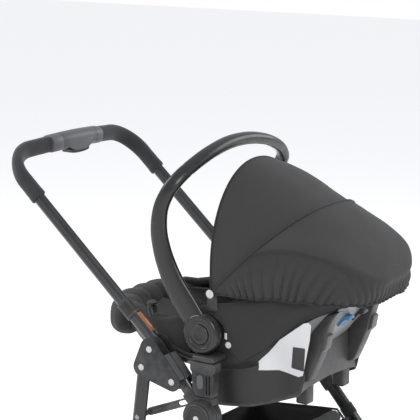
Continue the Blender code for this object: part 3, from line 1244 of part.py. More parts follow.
def make_harness(height):
    """The straps as one sheet of webbing laid over the pad on a grid, with the empty cells left out."""
    half, inner, outer = STRAP_WIDTH / 2, SHOULDER_X - STRAP_WIDTH / 2, SHOULDER_X + STRAP_WIDTH / 2
    across = [-LAP_HALF, -outer, -SHOULDER_X, -inner, -half, 0, half, inner, SHOULDER_X, outer, LAP_HALF]
    lap_start, lap_end = BUCKLE_Y - 0.056, BUCKLE_Y - 0.030
    along = [STRAP_TOP + (lap_start - STRAP_TOP) * step / 4 for step in range(5)]
    along += [lap_end + (STRAP_FOOT - lap_end) * step / 4 for step in range(5)]
    bm = bmesh.new()
    places = {}
    for x_low, x_high in zip(across, across[1:]):
        for y_low, y_high in zip(along, along[1:]):
            x, y = abs(x_low + x_high) / 2, (y_low + y_high) / 2
            shoulder = y < lap_start and inner < x < outer
            if not (shoulder or lap_start < y < lap_end or (y > lap_end and x < half)):
                continue
            corners = []
            for place in ((x_low, y_low), (x_high, y_low), (x_high, y_high), (x_low, y_high)):
                if place not in places:
                    places[place] = bm.verts.new(side_point(place[0], (place[1], height(*place) + STRAP_LIFT)))
                corners.append(places[place])
            bm.faces.new(corners)
    mesh = bpy.data.meshes.new("harness")
    bm.to_mesh(mesh)
    bm.free()
    harness = add_object("harness", mesh, WEBBING)
    webbing = harness.modifiers.new("webbing", "SOLIDIFY")
    webbing.thickness = STRAP_THICKNESS
    webbing.offset = 1
    return smooth(settle(harness))


def make_buckle(height):
    tops = [height(x, BUCKLE_Y + y) for x in (-0.030, 0, 0.030) for y in (-0.028, 0, 0.0255)]
    low = max(tops) + STRAP_LIFT + STRAP_THICKNESS + GAP
    buckle = box("harness_buckle", (-0.030, HUB_Y + BUCKLE_Y - 0.0255, low), (0.030, HUB_Y + BUCKLE_Y + 0.0255, low + 0.014), PLASTIC)
    buckle = rounded(buckle, 0.004)
    pocket = box("button_pocket", (-0.0125, HUB_Y + BUCKLE_Y - 0.002, low + 0.007), (0.0125, HUB_Y + BUCKLE_Y + 0.018, low + 0.03),
                 collection=cutters)
    buckle = smooth(cut(buckle, pocket))
    button = box("buckle_button", (-0.0122, HUB_Y + BUCKLE_Y - 0.0017, low + 0.0105),
                 (0.0122, HUB_Y + BUCKLE_Y + 0.0177, low + 0.0155), RED)
    return buckle, smooth(rounded(button, 0.0012))


def build_chassis():
    for label, side in SIDES:
        make_bracket(label, side)
        make_lower_tube(label, side)
        make_hub_housing(label, side)
        make_hub_cap(label, side)
        make_front_leg(label, side)
        make_adapter_post(label, side)
        make_adapter_button(label, side)
        make_caster_housing(label, side)
        set_origin(make_fork(label, side), Vector((side * CASTER_X, HUB_Y + CASTER_Y, BARREL_LOW)))
        make_wheel(f"front_{label}", side_point(side * CASTER_X, (CASTER_Y + CASTER_TRAIL, FRONT_WHEEL_RADIUS)),
                   FRONT_WHEEL_RADIUS, FRONT_TYRE_WIDTH)
    make_front_crossbar()
    make_basket()


def build_push_handle():
    pivot = side_point(0, FOLD_PIVOT)
    set_origin(make_handle_tube(), pivot)
    for label, side in SIDES:
        set_origin(make_grip_foam(label, side), pivot)
        make_lock_sleeve(label, side)
    set_origin(make_console(), pivot)
    make_trigger()


def build_rear_frame():
    pivot = side_point(0, REAR_LEG_PIVOT)
    for label, side in SIDES:
        set_origin(make_rear_leg(label, side), pivot)
        set_origin(make_rear_fitting(label, side), pivot)
        set_origin(make_brake_lever(label, side), side_point(side * REAR_LEG_END_X, BRAKE_PIVOT))
        set_origin(make_fold_link(label, side), side_point(side * LINK_X, LINK_LEG_POINT))
        make_wheel(f"rear_{label}", side_point(side * REAR_WHEEL_X, (REAR_WHEEL_Y, REAR_WHEEL_RADIUS)),
                   REAR_WHEEL_RADIUS, REAR_TYRE_WIDTH)
    set_origin(make_cross_rod(), pivot)


def build_carrier():
    add_shell_fixings(make_shell(), make_seat_cover())
    make_base()
    height = surface_below(make_seat_pad())
    make_harness(height)
    make_buckle(height)
    make_hood_rear()
    make_hood_front()
    make_carry_handle()
    for label, side in SIDES:
        make_belt_guide(label, side)
        make_hood_mount(label, side)
        make_hub_button(label, side)


build_chassis()
build_push_handle()
build_rear_frame()
build_carrier()

for cutter in list(cutters.objects):
    bpy.data.objects.remove(cutter, do_unlink=True)
print("nodes:", len(parts.objects))
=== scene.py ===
"""Travel system stroller: the fine surfaces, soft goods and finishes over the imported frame.

Metres, +Z up. The stroller faces -Y and the push handle is at +Y. Side positions are pairs
(y, z), with y counted from the hub axis, where the front legs and adapter posts meet.
"""
import json
import math

import bmesh
import bpy
from mathutils import Matrix, Vector, noise
from mathutils.bvhtree import BVHTree
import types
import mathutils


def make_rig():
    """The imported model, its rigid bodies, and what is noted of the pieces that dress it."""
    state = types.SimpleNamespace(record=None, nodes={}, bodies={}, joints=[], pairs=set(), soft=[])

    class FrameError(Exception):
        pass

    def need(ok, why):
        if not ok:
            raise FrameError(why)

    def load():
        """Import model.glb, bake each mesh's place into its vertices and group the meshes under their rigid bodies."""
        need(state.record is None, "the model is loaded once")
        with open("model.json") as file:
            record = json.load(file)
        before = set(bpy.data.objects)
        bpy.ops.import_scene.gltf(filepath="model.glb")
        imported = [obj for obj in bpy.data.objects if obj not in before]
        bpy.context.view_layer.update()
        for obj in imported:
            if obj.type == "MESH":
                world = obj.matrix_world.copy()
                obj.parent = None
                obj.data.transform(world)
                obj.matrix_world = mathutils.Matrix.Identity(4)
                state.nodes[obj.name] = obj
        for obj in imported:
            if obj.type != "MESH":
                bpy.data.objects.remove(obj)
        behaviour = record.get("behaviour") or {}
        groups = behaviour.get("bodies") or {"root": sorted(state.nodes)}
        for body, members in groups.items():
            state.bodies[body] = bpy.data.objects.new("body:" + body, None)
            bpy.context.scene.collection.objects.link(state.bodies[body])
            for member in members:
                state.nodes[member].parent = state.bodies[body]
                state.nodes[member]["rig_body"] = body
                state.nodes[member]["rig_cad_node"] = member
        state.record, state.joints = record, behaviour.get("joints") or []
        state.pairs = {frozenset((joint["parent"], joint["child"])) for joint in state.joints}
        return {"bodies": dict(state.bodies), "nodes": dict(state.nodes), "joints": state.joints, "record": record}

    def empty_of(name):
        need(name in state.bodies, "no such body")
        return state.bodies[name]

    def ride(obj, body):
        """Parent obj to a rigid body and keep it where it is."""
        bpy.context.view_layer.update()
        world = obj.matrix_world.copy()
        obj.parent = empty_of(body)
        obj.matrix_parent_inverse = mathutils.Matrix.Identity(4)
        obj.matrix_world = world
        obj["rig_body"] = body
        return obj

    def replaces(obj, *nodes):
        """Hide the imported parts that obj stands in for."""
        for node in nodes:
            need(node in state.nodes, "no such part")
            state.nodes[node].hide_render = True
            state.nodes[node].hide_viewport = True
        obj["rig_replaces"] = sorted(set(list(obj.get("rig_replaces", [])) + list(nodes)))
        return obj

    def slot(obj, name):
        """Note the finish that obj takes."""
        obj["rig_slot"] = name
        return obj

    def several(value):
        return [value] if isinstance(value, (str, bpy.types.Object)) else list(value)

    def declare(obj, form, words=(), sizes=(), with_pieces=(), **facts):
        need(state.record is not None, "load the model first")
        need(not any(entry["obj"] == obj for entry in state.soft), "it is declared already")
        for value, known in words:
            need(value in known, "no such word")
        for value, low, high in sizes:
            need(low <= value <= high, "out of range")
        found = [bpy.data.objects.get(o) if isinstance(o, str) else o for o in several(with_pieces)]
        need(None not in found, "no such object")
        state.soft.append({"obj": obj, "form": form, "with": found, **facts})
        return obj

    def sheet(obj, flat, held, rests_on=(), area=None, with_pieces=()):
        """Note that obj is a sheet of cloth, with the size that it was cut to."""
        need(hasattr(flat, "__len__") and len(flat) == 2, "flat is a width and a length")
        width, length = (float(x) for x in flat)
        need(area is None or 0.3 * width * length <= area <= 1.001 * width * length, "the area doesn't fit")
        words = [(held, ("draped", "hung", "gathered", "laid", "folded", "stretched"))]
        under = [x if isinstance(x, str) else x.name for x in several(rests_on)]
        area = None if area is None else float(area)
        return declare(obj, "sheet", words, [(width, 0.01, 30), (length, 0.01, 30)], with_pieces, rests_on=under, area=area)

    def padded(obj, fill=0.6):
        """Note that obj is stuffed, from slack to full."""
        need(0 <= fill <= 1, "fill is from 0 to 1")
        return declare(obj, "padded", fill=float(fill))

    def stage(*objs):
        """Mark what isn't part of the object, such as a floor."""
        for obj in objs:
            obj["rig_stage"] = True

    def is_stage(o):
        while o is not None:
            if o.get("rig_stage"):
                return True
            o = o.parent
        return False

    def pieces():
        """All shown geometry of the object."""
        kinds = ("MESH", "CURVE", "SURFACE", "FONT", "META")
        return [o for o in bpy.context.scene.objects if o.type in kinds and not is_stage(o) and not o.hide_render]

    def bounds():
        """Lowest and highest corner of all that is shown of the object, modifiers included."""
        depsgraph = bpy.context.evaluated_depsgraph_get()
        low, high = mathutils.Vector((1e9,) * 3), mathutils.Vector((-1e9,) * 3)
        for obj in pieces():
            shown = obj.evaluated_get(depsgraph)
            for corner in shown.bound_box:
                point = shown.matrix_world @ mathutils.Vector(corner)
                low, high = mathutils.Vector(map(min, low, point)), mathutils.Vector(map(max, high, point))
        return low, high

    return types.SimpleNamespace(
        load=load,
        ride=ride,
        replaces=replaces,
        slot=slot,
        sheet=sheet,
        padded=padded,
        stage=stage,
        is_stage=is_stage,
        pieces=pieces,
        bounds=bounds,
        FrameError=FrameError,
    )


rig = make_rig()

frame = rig.load()
cad_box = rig.bounds()

# Studio: a pale floor that keeps the stroller's shadow and shows white to the camera, three soft lamps
# and an even world. The camera stands where the photograph was taken from, ahead of the right front wheel.
HUB_Y, HUB_Z = -0.0981, 0.517
FLOOR_SIZE, FLOOR_SHADE, FLOOR_GLOW = 14, 0.80, 0.42
LAMPS = (("key_lamp", (-2.6, -2.8, 3.4), 2.4, 95), ("side_lamp", (2.9, -1.6, 2.2), 2.6, 45),
         ("back_lamp", (-0.8, 3.2, 2.9), 2.6, 70))
LAMP_TARGET = Vector((0, HUB_Y, 0.6))
CAMERA_PLACE, CAMERA_AZIMUTH, CAMERA_ELEVATION = (-3.036, HUB_Y - 1.896, 1.632), -56.18, 11.32
CAMERA_LENS, CAMERA_SENSOR = 145.5, 36


def fill(tree, node, sockets):
    """Gives each named socket of a node its plain value, or a link from another socket."""
    for name, value in sockets.items():
        if isinstance(value, bpy.types.NodeSocket):
            tree.links.new(value, node.inputs[name])
        else:
            node.inputs[name].default_value = value


def add_node(tree, kind, sockets=None, **settings):
    node = tree.nodes.new("ShaderNode" + kind)
    for name, value in settings.items():
        setattr(node, name, value)
    fill(tree, node, sockets or {})
    return node


floor_mesh = bpy.data.meshes.new("studio_floor")
bm = bmesh.new()
bmesh.ops.create_grid(bm, x_segments=1, y_segments=1, size=FLOOR_SIZE)
bm.to_mesh(floor_mesh)
bm.free()
studio_floor = bpy.data.objects.new("studio_floor", floor_mesh)
bpy.context.scene.collection.objects.link(studio_floor)
floor_white = bpy.data.materials.new("floor_white")
floor_white.use_nodes = True
floor_mesh.materials.append(floor_white)
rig.stage(studio_floor)

# The floor glows white to the camera and in reflections, and still takes shadows
tree = floor_white.node_tree
shaded = tree.nodes["Principled BSDF"]
fill(tree, shaded, {"Base Color": (FLOOR_SHADE, FLOOR_SHADE, FLOOR_SHADE, 1), "Roughness": 0.9})
rays = add_node(tree, "LightPath").outputs
seen = add_node(tree, "Math", {0: rays["Is Camera Ray"], 1: rays["Is Glossy Ray"]}, operation="MAXIMUM")
glow = add_node(tree, "Emission", {"Strength": FLOOR_GLOW})
lit = add_node(tree, "AddShader", {0: shaded.outputs[0], 1: glow.outputs[0]})
mix = add_node(tree, "MixShader", {0: seen.outputs[0], 1: shaded.outputs[0], 2: lit.outputs[0]})
fill(tree, tree.nodes["Material Output"], {"Surface": mix.outputs[0]})

world = bpy.data.worlds.new("studio_air")
bpy.context.scene.world = world
world.use_nodes = True
tree = world.node_tree
soft_air = tree.nodes["Background"]
fill(tree, soft_air, {"Color": (0.92, 0.94, 1.0, 1), "Strength": 0.62})
white_air = add_node(tree, "Background", {"Color": (1, 1, 1, 1)})
seen = add_node(tree, "LightPath").outputs["Is Camera Ray"]
mix = add_node(tree, "MixShader", {0: seen, 1: soft_air.outputs[0], 2: white_air.outputs[0]})
fill(tree, tree.nodes["World Output"], {"Surface": mix.outputs[0]})

for name, place, size, power in LAMPS:
    lamp_data = bpy.data.lights.new(name, "AREA")
    lamp_data.shape = "DISK"
    lamp_data.size = size
    lamp_data.energy = power
    lamp = bpy.data.objects.new(name, lamp_data)
    lamp.location = place
    lamp.rotation_euler = (LAMP_TARGET - Vector(place)).to_track_quat("-Z", "Y").to_euler()
    bpy.context.scene.collection.objects.link(lamp)

azimuth, elevation = math.radians(CAMERA_AZIMUTH), math.radians(CAMERA_ELEVATION)
camera_data = bpy.data.cameras.new("camera")
camera_data.sensor_width = CAMERA_SENSOR
camera_data.lens = CAMERA_LENS
camera = bpy.data.objects.new("camera", camera_data)
camera.location = CAMERA_PLACE
look = Vector((-math.sin(azimuth) * math.cos(elevation), math.cos(azimuth) * math.cos(elevation), -math.sin(elevation)))
camera.rotation_euler = look.to_track_quat("-Z", "Y").to_euler()
bpy.context.scene.collection.objects.link(camera)
bpy.context.scene.camera = camera
bpy.context.scene.view_settings.view_transform = "Standard"


# Frame tubes: drawn aluminium ovals with a shallow channel down each flank, coated in dark graphite. The front
# legs run from the hub housings to the caster housings, and the lower tubes from the hubs up to the brackets.
SIDES = (("right", -1), ("left", 1))
HUB = (0, HUB_Z)
FOLD_PIVOT = (0.120, 0.647)
FRONT_LEG_FOOT = (-0.258, 0.252)
TUBE_WIDTH, TUBE_DEPTH = 0.019, 0.030
LEG_WIDTH, LEG_DEPTH = 0.018, 0.032
TUBE_X, HUB_X, LEG_FOOT_X = 0.222, 0.236, 0.204
LEVEL = (1, 0, 0)
WELD = 0.00002


def at(x, place):
    """World point in the side plane x."""
    return Vector((x, HUB_Y + place[0], place[1]))


def toward(start, end, distance):
    """The side position at a distance from start on the line to end."""
    run = Vector(end) - Vector(start)
    point = Vector(start) + run.normalized() * distance
    return (point.x, point.y)


def sweep(bm, stations, sides=32, power=2.0, channel=0.0, level=None):
    """An oval tube through stations of (centre, width, depth); its width stays level."""
    ring = bmesh.ops.create_circle(bm, radius=1, segments=sides)["verts"]
    for vert in ring:
        x, y = vert.co.x, vert.co.y
        vert.co.x = math.copysign(abs(x) ** (2 / power), x) * (1 - channel * (abs(y) < 0.2))
        vert.co.y = math.copysign(abs(y) ** (2 / power), y)
    edges = [edge for edge in bm.edges if edge.verts[0] in ring and edge.verts[1] in ring]
    start, previous = list(edges), Matrix()
    for index, (centre, width, depth) in enumerate(stations):
        if index:
            grown = bmesh.ops.extrude_edge_only(bm, edges=edges)["geom"]
            ring = [item for item in grown if isinstance(item, bmesh.types.BMVert)]
            edges = [item for item in grown if isinstance(item, bmesh.types.BMEdge)
                     and item.verts[0] in ring and item.verts[1] in ring]
        run = (stations[min(index + 1, len(stations) - 1)][0] - stations[max(index - 1, 0)][0]).normalized()
        across = Vector(level) if level else run.cross(Vector((0, 0, 1)))
        across = (across - run * across.dot(run)).normalized()
        up = across.cross(run)
        place = Matrix.Translation(centre) @ Matrix((across * width / 2, up * depth / 2, run)).transposed().to_4x4()
        bmesh.ops.transform(bm, matrix=place @ previous.inverted(), verts=ring)
        previous = place
    bmesh.ops.holes_fill(bm, edges=start + edges, sides=0)


def rod(bm, path, width, depth=None, **shape):
    """A sweep of one size along a path."""
    sweep(bm, [(point, width, depth or width) for point in path], **shape)


def finished(bm, name, material, body, slot, stands_for=(), sharp=32, turn_out=True):
    """Makes the piece from its mesh, with smooth faces and crisp edges, and fixes it to its body."""
    bmesh.ops.remove_doubles(bm, verts=bm.verts, dist=WELD)
    if turn_out:
        bmesh.ops.recalc_face_normals(bm, faces=bm.faces)
    mesh = bpy.data.meshes.new(name)
    bm.to_mesh(mesh)
    bm.free()
    piece = bpy.data.objects.new(name, mesh)
    bpy.context.scene.collection.objects.link(piece)
    mesh.materials.append(material)
    mesh.shade_smooth()
    mesh.set_sharp_from_angle(angle=math.radians(sharp))
    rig.ride(piece, body)
    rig.slot(piece, slot)
    if stands_for:
        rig.replaces(piece, *stands_for)
    return piece


def new_effect(name, takes, gives):
    """An empty node group with float inputs of {name: value} and named float outputs."""
    effect = bpy.data.node_groups.new(name, "ShaderNodeTree")
    for title, value in takes.items():
        kind = "NodeSocketVector" if isinstance(value, tuple) else "NodeSocketFloat"
        effect.interface.new_socket(name=title, in_out="INPUT", socket_type=kind).default_value = value
    for title in gives:
        effect.interface.new_socket(name=title, in_out="OUTPUT", socket_type="NodeSocketFloat")
    own_place = add_node(effect, "TexCoord").outputs["Object"]
    return effect, own_place, effect.nodes.new("NodeGroupInput").outputs, effect.nodes.new("NodeGroupOutput")


# Grain: fine pits or streaks over slow cloudy change, on the piece's own coordinates
grain, own_place, taken, given = new_effect("grain", {"Scale": 900.0, "Stretch": (1, 1, 1)}, ("Height", "Cloud"))
stretched = add_node(grain, "VectorMath", {0: own_place, 1: taken["Stretch"]}, operation="MULTIPLY")
pits = add_node(grain, "TexNoise", {"Vector": stretched.outputs[0], "Scale": taken["Scale"], "Detail": 3,
                                    "Roughness": 0.6})
clouds = add_node(grain, "TexNoise", {"Vector": own_place, "Scale": 14, "Detail": 4})
fill(grain, given, {"Height": pits.outputs["Fac"], "Cloud": clouds.outputs["Fac"]})

# Painted edge highlight: a mask of the sharp outer edges, broken up by noise, where a lighter colour paints the
# highlights that edges catch
edge_wear, own_place, taken, given = new_effect("edge_wear", {"Reach": 0.56}, ("Mask",))
highlight_noise = add_node(edge_wear, "TexNoise", {"Vector": own_place, "Scale": 60}).outputs["Fac"]
bend = add_node(edge_wear, "NewGeometry").outputs["Pointiness"]
highlit = add_node(edge_wear, "Math", {0: highlight_noise, 1: 0.08, 2: bend}, operation="MULTIPLY_ADD")
highlight_mask = add_node(edge_wear, "MapRange", {"Value": highlit.outputs[0], "From Min": taken["Reach"], "From Max": 0.70})
fill(edge_wear, given, {"Mask": highlight_mask.outputs["Result"]})


def toned(colour, share):
    """The colour made lighter by a share of itself, or darker by a negative one."""
    return (*(min(1, part * (1 + share)) for part in colour), 1)


def blended(tree, mask, first, second):
    """A colour that goes from the first to the second with the mask."""
    return add_node(tree, "Mix", {"Factor": mask, 6: first, 7: second}, data_type="RGBA").outputs[2]


def new_finish(name, effect, clouds, roughness, spread, depth, **values):
    """A material with the effect's relief and a gloss that varies with its clouds, and the effect's outputs."""
    material = bpy.data.materials.new(name)
    material.use_nodes = True
    tree = material.node_tree
    surface = add_node(tree, "Group", values, node_tree=effect).outputs
    gloss = add_node(tree, "MapRange", {"Value": surface["Cloud"], "From Min": clouds[0], "From Max": clouds[1],
                                        "To Min": roughness - spread, "To Max": min(1, roughness + spread)})
    bump = add_node(tree, "Bump", {"Distance": depth, "Height": surface["Height"]})
    fill(tree, tree.nodes["Principled BSDF"], {"Roughness": gloss.outputs["Result"], "Normal": bump.outputs["Normal"]})
    return material, surface


def hard_finish(name, colour, roughness, metallic=0.0, scale=900.0, depth=0.00004, stretch=(1, 1, 1), highlight=0.5,
                spread=0.08, change=0.22):
    """A coated metal or moulded plastic: cloudy colour, a painted highlight that lightens the sharp edges, uneven gloss
    and a fine grain.
    """
    material, surface = new_finish(name, grain, (0.3, 0.7), roughness, spread, depth, Scale=scale, Stretch=stretch)
    tree = material.node_tree
    # Painted highlight: the sharp edges take a colour moved towards mid grey by the highlight share
    edges = add_node(tree, "Group", node_tree=edge_wear).outputs["Mask"]
    base = blended(tree, surface["Cloud"], toned(colour, -change), toned(colour, change))
    highlit = (*(min(1, part + (0.5 - part) * 0.35 * highlight) for part in colour), 1)
    fill(tree, tree.nodes["Principled BSDF"], {"Metallic": metallic, "Base Color": blended(tree, edges, base, highlit)})
    return material


graphite = hard_finish("graphite_coating", (0.046, 0.046, 0.046), 0.33, 0.75, scale=2600, depth=0.00002, highlight=0.3)
graphite.node_tree.nodes["Principled BSDF"].inputs["Coat Weight"].default_value = 0.25


def front_leg_place(side, distance):
    place = toward(HUB, FRONT_LEG_FOOT, distance)
    x = HUB_X + (LEG_FOOT_X - HUB_X) * distance / math.dist(HUB, FRONT_LEG_FOOT)
    return at(side * x, place)


front_leg_length = math.dist(HUB, FRONT_LEG_FOOT)
for label, side in SIDES:
    bm = bmesh.new()
    rod(bm, [front_leg_place(side, d) for d in (0.040, 0.15, 0.28, front_leg_length)], LEG_WIDTH, LEG_DEPTH,
        channel=0.10, level=LEVEL)
    finished(bm, f"front_leg_tube_{label}", graphite, "chassis", "tube", [f"front_leg_{label}"])
    bm = bmesh.new()
    ends = toward(FOLD_PIVOT, HUB, 0.0235), toward(HUB, FOLD_PIVOT, 0.040)
    rod(bm, [at(side * TUBE_X, end) for end in ends], TUBE_WIDTH, TUBE_DEPTH, channel=0.10)
    finished(bm, f"lower_tube_oval_{label}", graphite, "chassis", "tube", [f"lower_tube_{label}"])


# Hub housings: two-part nylon mouldings at the fold hub, with sockets for the lower tube and the front leg and a
# seat for the adapter post. A stepped cap closes each outside, over the pale end of the pin.
HUB_RADIUS, HUB_INNER, HUB_OUTER, HUB_EDGE = 0.036, 0.213, 0.256, 0.0025
LINK_HUB_PLACE = (0.020, 0.546)
moulded = hard_finish("moulded_nylon", (0.0165, 0.0162, 0.0160), 0.48, scale=1500, depth=0.00005, highlight=0.7)
pale = hard_finish("pale_fastener", (0.62, 0.62, 0.60), 0.30, scale=900, depth=0.00001, highlight=0.1, change=0.05)


def spun(bm, profile, centre, side=1, base=0.0, axis=(1, 0, 0), steps=40, closed=False):
    """Turns (radius, offset along the axis) pairs round an axis; offsets count from base, mirrored by a side of -1."""
    axis, centre = Vector(axis), Vector(centre)
    out = Vector((0, 0, 1)) if abs(axis.z) < 0.9 else Vector((0, 1, 0))
    corners = [bm.verts.new(centre + out * radius + axis * (side * (base + offset))) for radius, offset in profile]
    runs = list(zip(corners, corners[1:])) + ([(corners[-1], corners[0])] if closed else [])
    edges = [bm.edges.new(run) for run in runs]
    bmesh.ops.spin(bm, geom=corners + edges, cent=centre, axis=axis, angle=2 * math.pi, steps=steps, use_merge=True)


def slab(bm, corners, move, edge=0.0, segments=2):
    """A flat outline given thickness by a move, with rounded edges."""
    face = bm.faces.new([bm.verts.new(corner) for corner in corners])
    grown = bmesh.ops.extrude_face_region(bm, geom=[face])["geom"]
    moved = [item for item in grown if isinstance(item, bmesh.types.BMVert)]
    bmesh.ops.translate(bm, verts=moved, vec=move)
    if edge:
        caps = [face] + [item for item in grown if isinstance(item, bmesh.types.BMFace)]
        rims = list({rim for cap in caps for rim in cap.edges})
        bmesh.ops.bevel(bm, geom=rims, offset=edge, segments=segments, profile=0.5, affect="EDGES", material=-1,
                        clamp_overlap=True)


def plate(bm, outline, x_low, x_high, edge=0.0, segments=2):
    """A side outline of (y, z) pairs given thickness along x."""
    slab(bm, [at(x_low, place) for place in outline], (x_high - x_low, 0, 0), edge, segments)


def span(side, first, second):
    """Two distances from the middle plane as x on one side, the lower one first."""
    return sorted((side * first, side * second))


def belt(discs, steps=12):
    """The outline of a belt drawn round discs of (y, z, radius), in turning order."""
    outline, count = [], len(discs)
    for index, disc in enumerate(discs):
        turns = []
        for first, last in ((discs[index - 1], disc), (disc, discs[(index + 1) % count])):
            gap = math.dist(first[:2], last[:2])
            turns.append(math.atan2(last[1] - first[1], last[0] - first[0]) - math.pi / 2
                         + math.asin((last[2] - first[2]) / gap))
        while turns[1] < turns[0]:
            turns[1] += 2 * math.pi
        for step in range(steps):
            angle = turns[0] + (turns[1] - turns[0]) * step / (steps - 1)
            outline.append((disc[0] + disc[2] * math.cos(angle), disc[1] + disc[2] * math.sin(angle)))
    return outline


def block(bm, low, high, edge):
    """A moulded block between two corners, with rounded edges."""
    made = bmesh.ops.create_cube(bm, size=1)["verts"]
    size, middle = Vector(high) - Vector(low), (Vector(high) + Vector(low)) / 2
    bmesh.ops.transform(bm, matrix=Matrix.Translation(middle) @ Matrix.Diagonal((*size, 1)), verts=made)
    edges = list({rim for vert in made for rim in vert.link_edges})
    bmesh.ops.bevel(bm, geom=edges, offset=edge, segments=3, profile=0.5, affect="EDGES", material=-1)


def refinish(node, material):
    """Gives a CAD node that is shown as packed a better material."""
    frame["nodes"][node].material_slots[0].material = material


for label, side in SIDES:
    bm = bmesh.new()
    edge = HUB_EDGE
    spun(bm, [(0, HUB_INNER), (HUB_RADIUS - edge, HUB_INNER), (HUB_RADIUS - edge * 0.3, HUB_INNER + edge * 0.3),
              (HUB_RADIUS, HUB_INNER + edge), (HUB_RADIUS, 0.2335), (HUB_RADIUS - 0.0012, 0.2345),
              (HUB_RADIUS - 0.0012, 0.2355), (HUB_RADIUS, 0.2365), (HUB_RADIUS, HUB_OUTER - edge),
              (HUB_RADIUS - edge * 0.3, HUB_OUTER - edge * 0.3), (HUB_RADIUS - edge, HUB_OUTER), (0, HUB_OUTER)],
         at(0, HUB), side, steps=56)
    sockets = [(toward(HUB, FOLD_PIVOT, distance), width, depth) for distance, width, depth in
               ((0, 0.026, 0.037), (0.056, 0.027, 0.038), (HUB_RADIUS + 0.024, 0.0255, 0.0365))]
    sweep(bm, [(at(side * TUBE_X, place), width, depth) for place, width, depth in sockets], power=2.6)
    sweep(bm, [(front_leg_place(side, distance), width, depth) for distance, width, depth in
               ((0.002, 0.025, 0.039), (0.062, 0.026, 0.040), (0.066, 0.0245, 0.0385))], power=2.6, level=LEVEL)
    post_low, post_high = span(side, 0.2115, 0.2345)
    block(bm, (post_low, HUB_Y - 0.025, HUB_Z), (post_high, HUB_Y + 0.025, 0.557), 0.002)
    spun(bm, [(0, 0.1999), (0.0058, 0.1999), (0.0066, 0.2005), (0.0066, 0.2019), (0.003, 0.2019), (0.003, 0.217),
              (0, 0.217)], at(0, LINK_HUB_PLACE), side, steps=24)
    finished(bm, f"hub_moulding_{label}", moulded, "chassis", "housing", [f"hub_housing_{label}"])
    bm = bmesh.new()
    spun(bm, [(0, 0), (0.0305, 0), (0.0310, 0.0005), (0.0310, 0.0016), (0.0292, 0.0036), (0.0285, 0.0038),
              (0.0215, 0.0038), (0.0208, 0.0036), (0.0195, 0.0024), (0.0068, 0.0024), (0.0066, 0.0018), (0, 0.0018)],
         at(0, HUB), side, HUB_OUTER + 0.0003, steps=56)
    finished(bm, f"hub_cap_disc_{label}", moulded, "chassis", "housing", [f"hub_cap_{label}"])
    bm = bmesh.new()
    spun(bm, [(0, 0.0012), (0.0062, 0.0012), (0.0062, 0.0036), (0.0050, 0.0046), (0.0026, 0.0050), (0, 0.0051)],
         at(0, HUB), side, HUB_OUTER + 0.0005, steps=32)
    finished(bm, f"hub_pin_end_{label}", pale, "chassis", "housing")
    refinish(f"adapter_post_{label}", moulded)

# Hinge brackets: pressed steel plates in threes on each side, closed by a web ahead of the lower tube, black
# powder coated. Pale headed rivets go through them: two on the tubes and one on the rear leg.
REAR_LEG_PIVOT = (0.1406, 0.605)
RIVET_PLACE = toward(FOLD_PIVOT, HUB, 0.084)
PLATE_XS = ((0.2087, 0.2117), (0.2323, 0.2342), (0.2538, 0.2568))
RIVET_RADIUS, RIVET_TAIL = 0.0040, 0.2566
RIVET_HEAD = ((0, 0.0024), (0.0030, 0.0024), (0.0055, 0.0018), (0.0068, 0.0009), (0.0070, -0.0004))
coated_steel = hard_finish("coated_steel", (0.022, 0.022, 0.0225), 0.36, 0.2, scale=1200, depth=0.00003, highlight=0.9)
down_run = (Vector(HUB) - Vector(FOLD_PIVOT)).normalized()
down_front = Vector((down_run.y, -down_run.x))
web = [tuple(Vector(FOLD_PIVOT) + down_run * along + down_front * out)
       for along, out in ((0.030, 0.0165), (0.030, 0.0205), (0.084, 0.0198), (0.092, 0.0165))]
for label, side in SIDES:
    bm = bmesh.new()
    outline = belt([(*RIVET_PLACE, 0.0205), (*REAR_LEG_PIVOT, 0.0205), (*FOLD_PIVOT, 0.0235)], 18)
    for inner, outer in PLATE_XS:
        plate(bm, outline, *span(side, inner, outer), edge=0.0006)
    plate(bm, web, *span(side, 0.2090, 0.2566), edge=0.0008)
    finished(bm, f"bracket_plates_{label}", coated_steel, "chassis", "housing", [f"hinge_bracket_{label}"])
    bm = bmesh.new()
    for place, inner, headed in ((FOLD_PIVOT, 0.2087, True), (RIVET_PLACE, 0.2087, True),
                                 (REAR_LEG_PIVOT, 0.2328, False)):
        profile = [(radius, inner - offset) for radius, offset in RIVET_HEAD] if headed else [(0, inner)]
        profile += [(RIVET_RADIUS, inner + 0.0002), (RIVET_RADIUS, RIVET_TAIL)]
        profile += [(radius, PLATE_XS[-1][1] + offset) for radius, offset in RIVET_HEAD[::-1]]
        spun(bm, profile, at(0, place), side, steps=32)
    finished(bm, f"bracket_rivets_{label}", pale, "chassis", "housing")


# Front crossbar: a steel tube bent forward in the middle and screwed to the insides of the front legs through
# flat-ended saddles. It is plated and holds up the basket's front.
BAR_WIDTH, BAR_FORWARD, BAR_DROP = 0.019, 0.014, 0.004
plated = hard_finish("plated_steel", (0.30, 0.30, 0.31), 0.20, 0.95, scale=500, depth=0.000008, stretch=(0.1, 1, 1),
                     highlight=0.2, spread=0.05, change=0.12)


def bent_path(corners, steps=10):
    """Points along straight runs whose corners, given as (point, radius), are rounded."""
    points = []
    for index, (corner, radius) in enumerate(corners):
        if not radius:
            points.append(corner)
            continue
        back = (corners[index - 1][0] - corner).normalized()
        ahead = (corners[index + 1][0] - corner).normalized()
        half = back.angle(ahead) / 2
        centre = corner + (back + ahead).normalized() * (radius / math.sin(half))
        first = (corner + back * (radius / math.tan(half)) - centre).normalized()
        last = (corner + ahead * (radius / math.tan(half)) - centre).normalized()
        points += [centre + first.slerp(last, step / steps) * radius for step in range(steps + 1)]
    return points


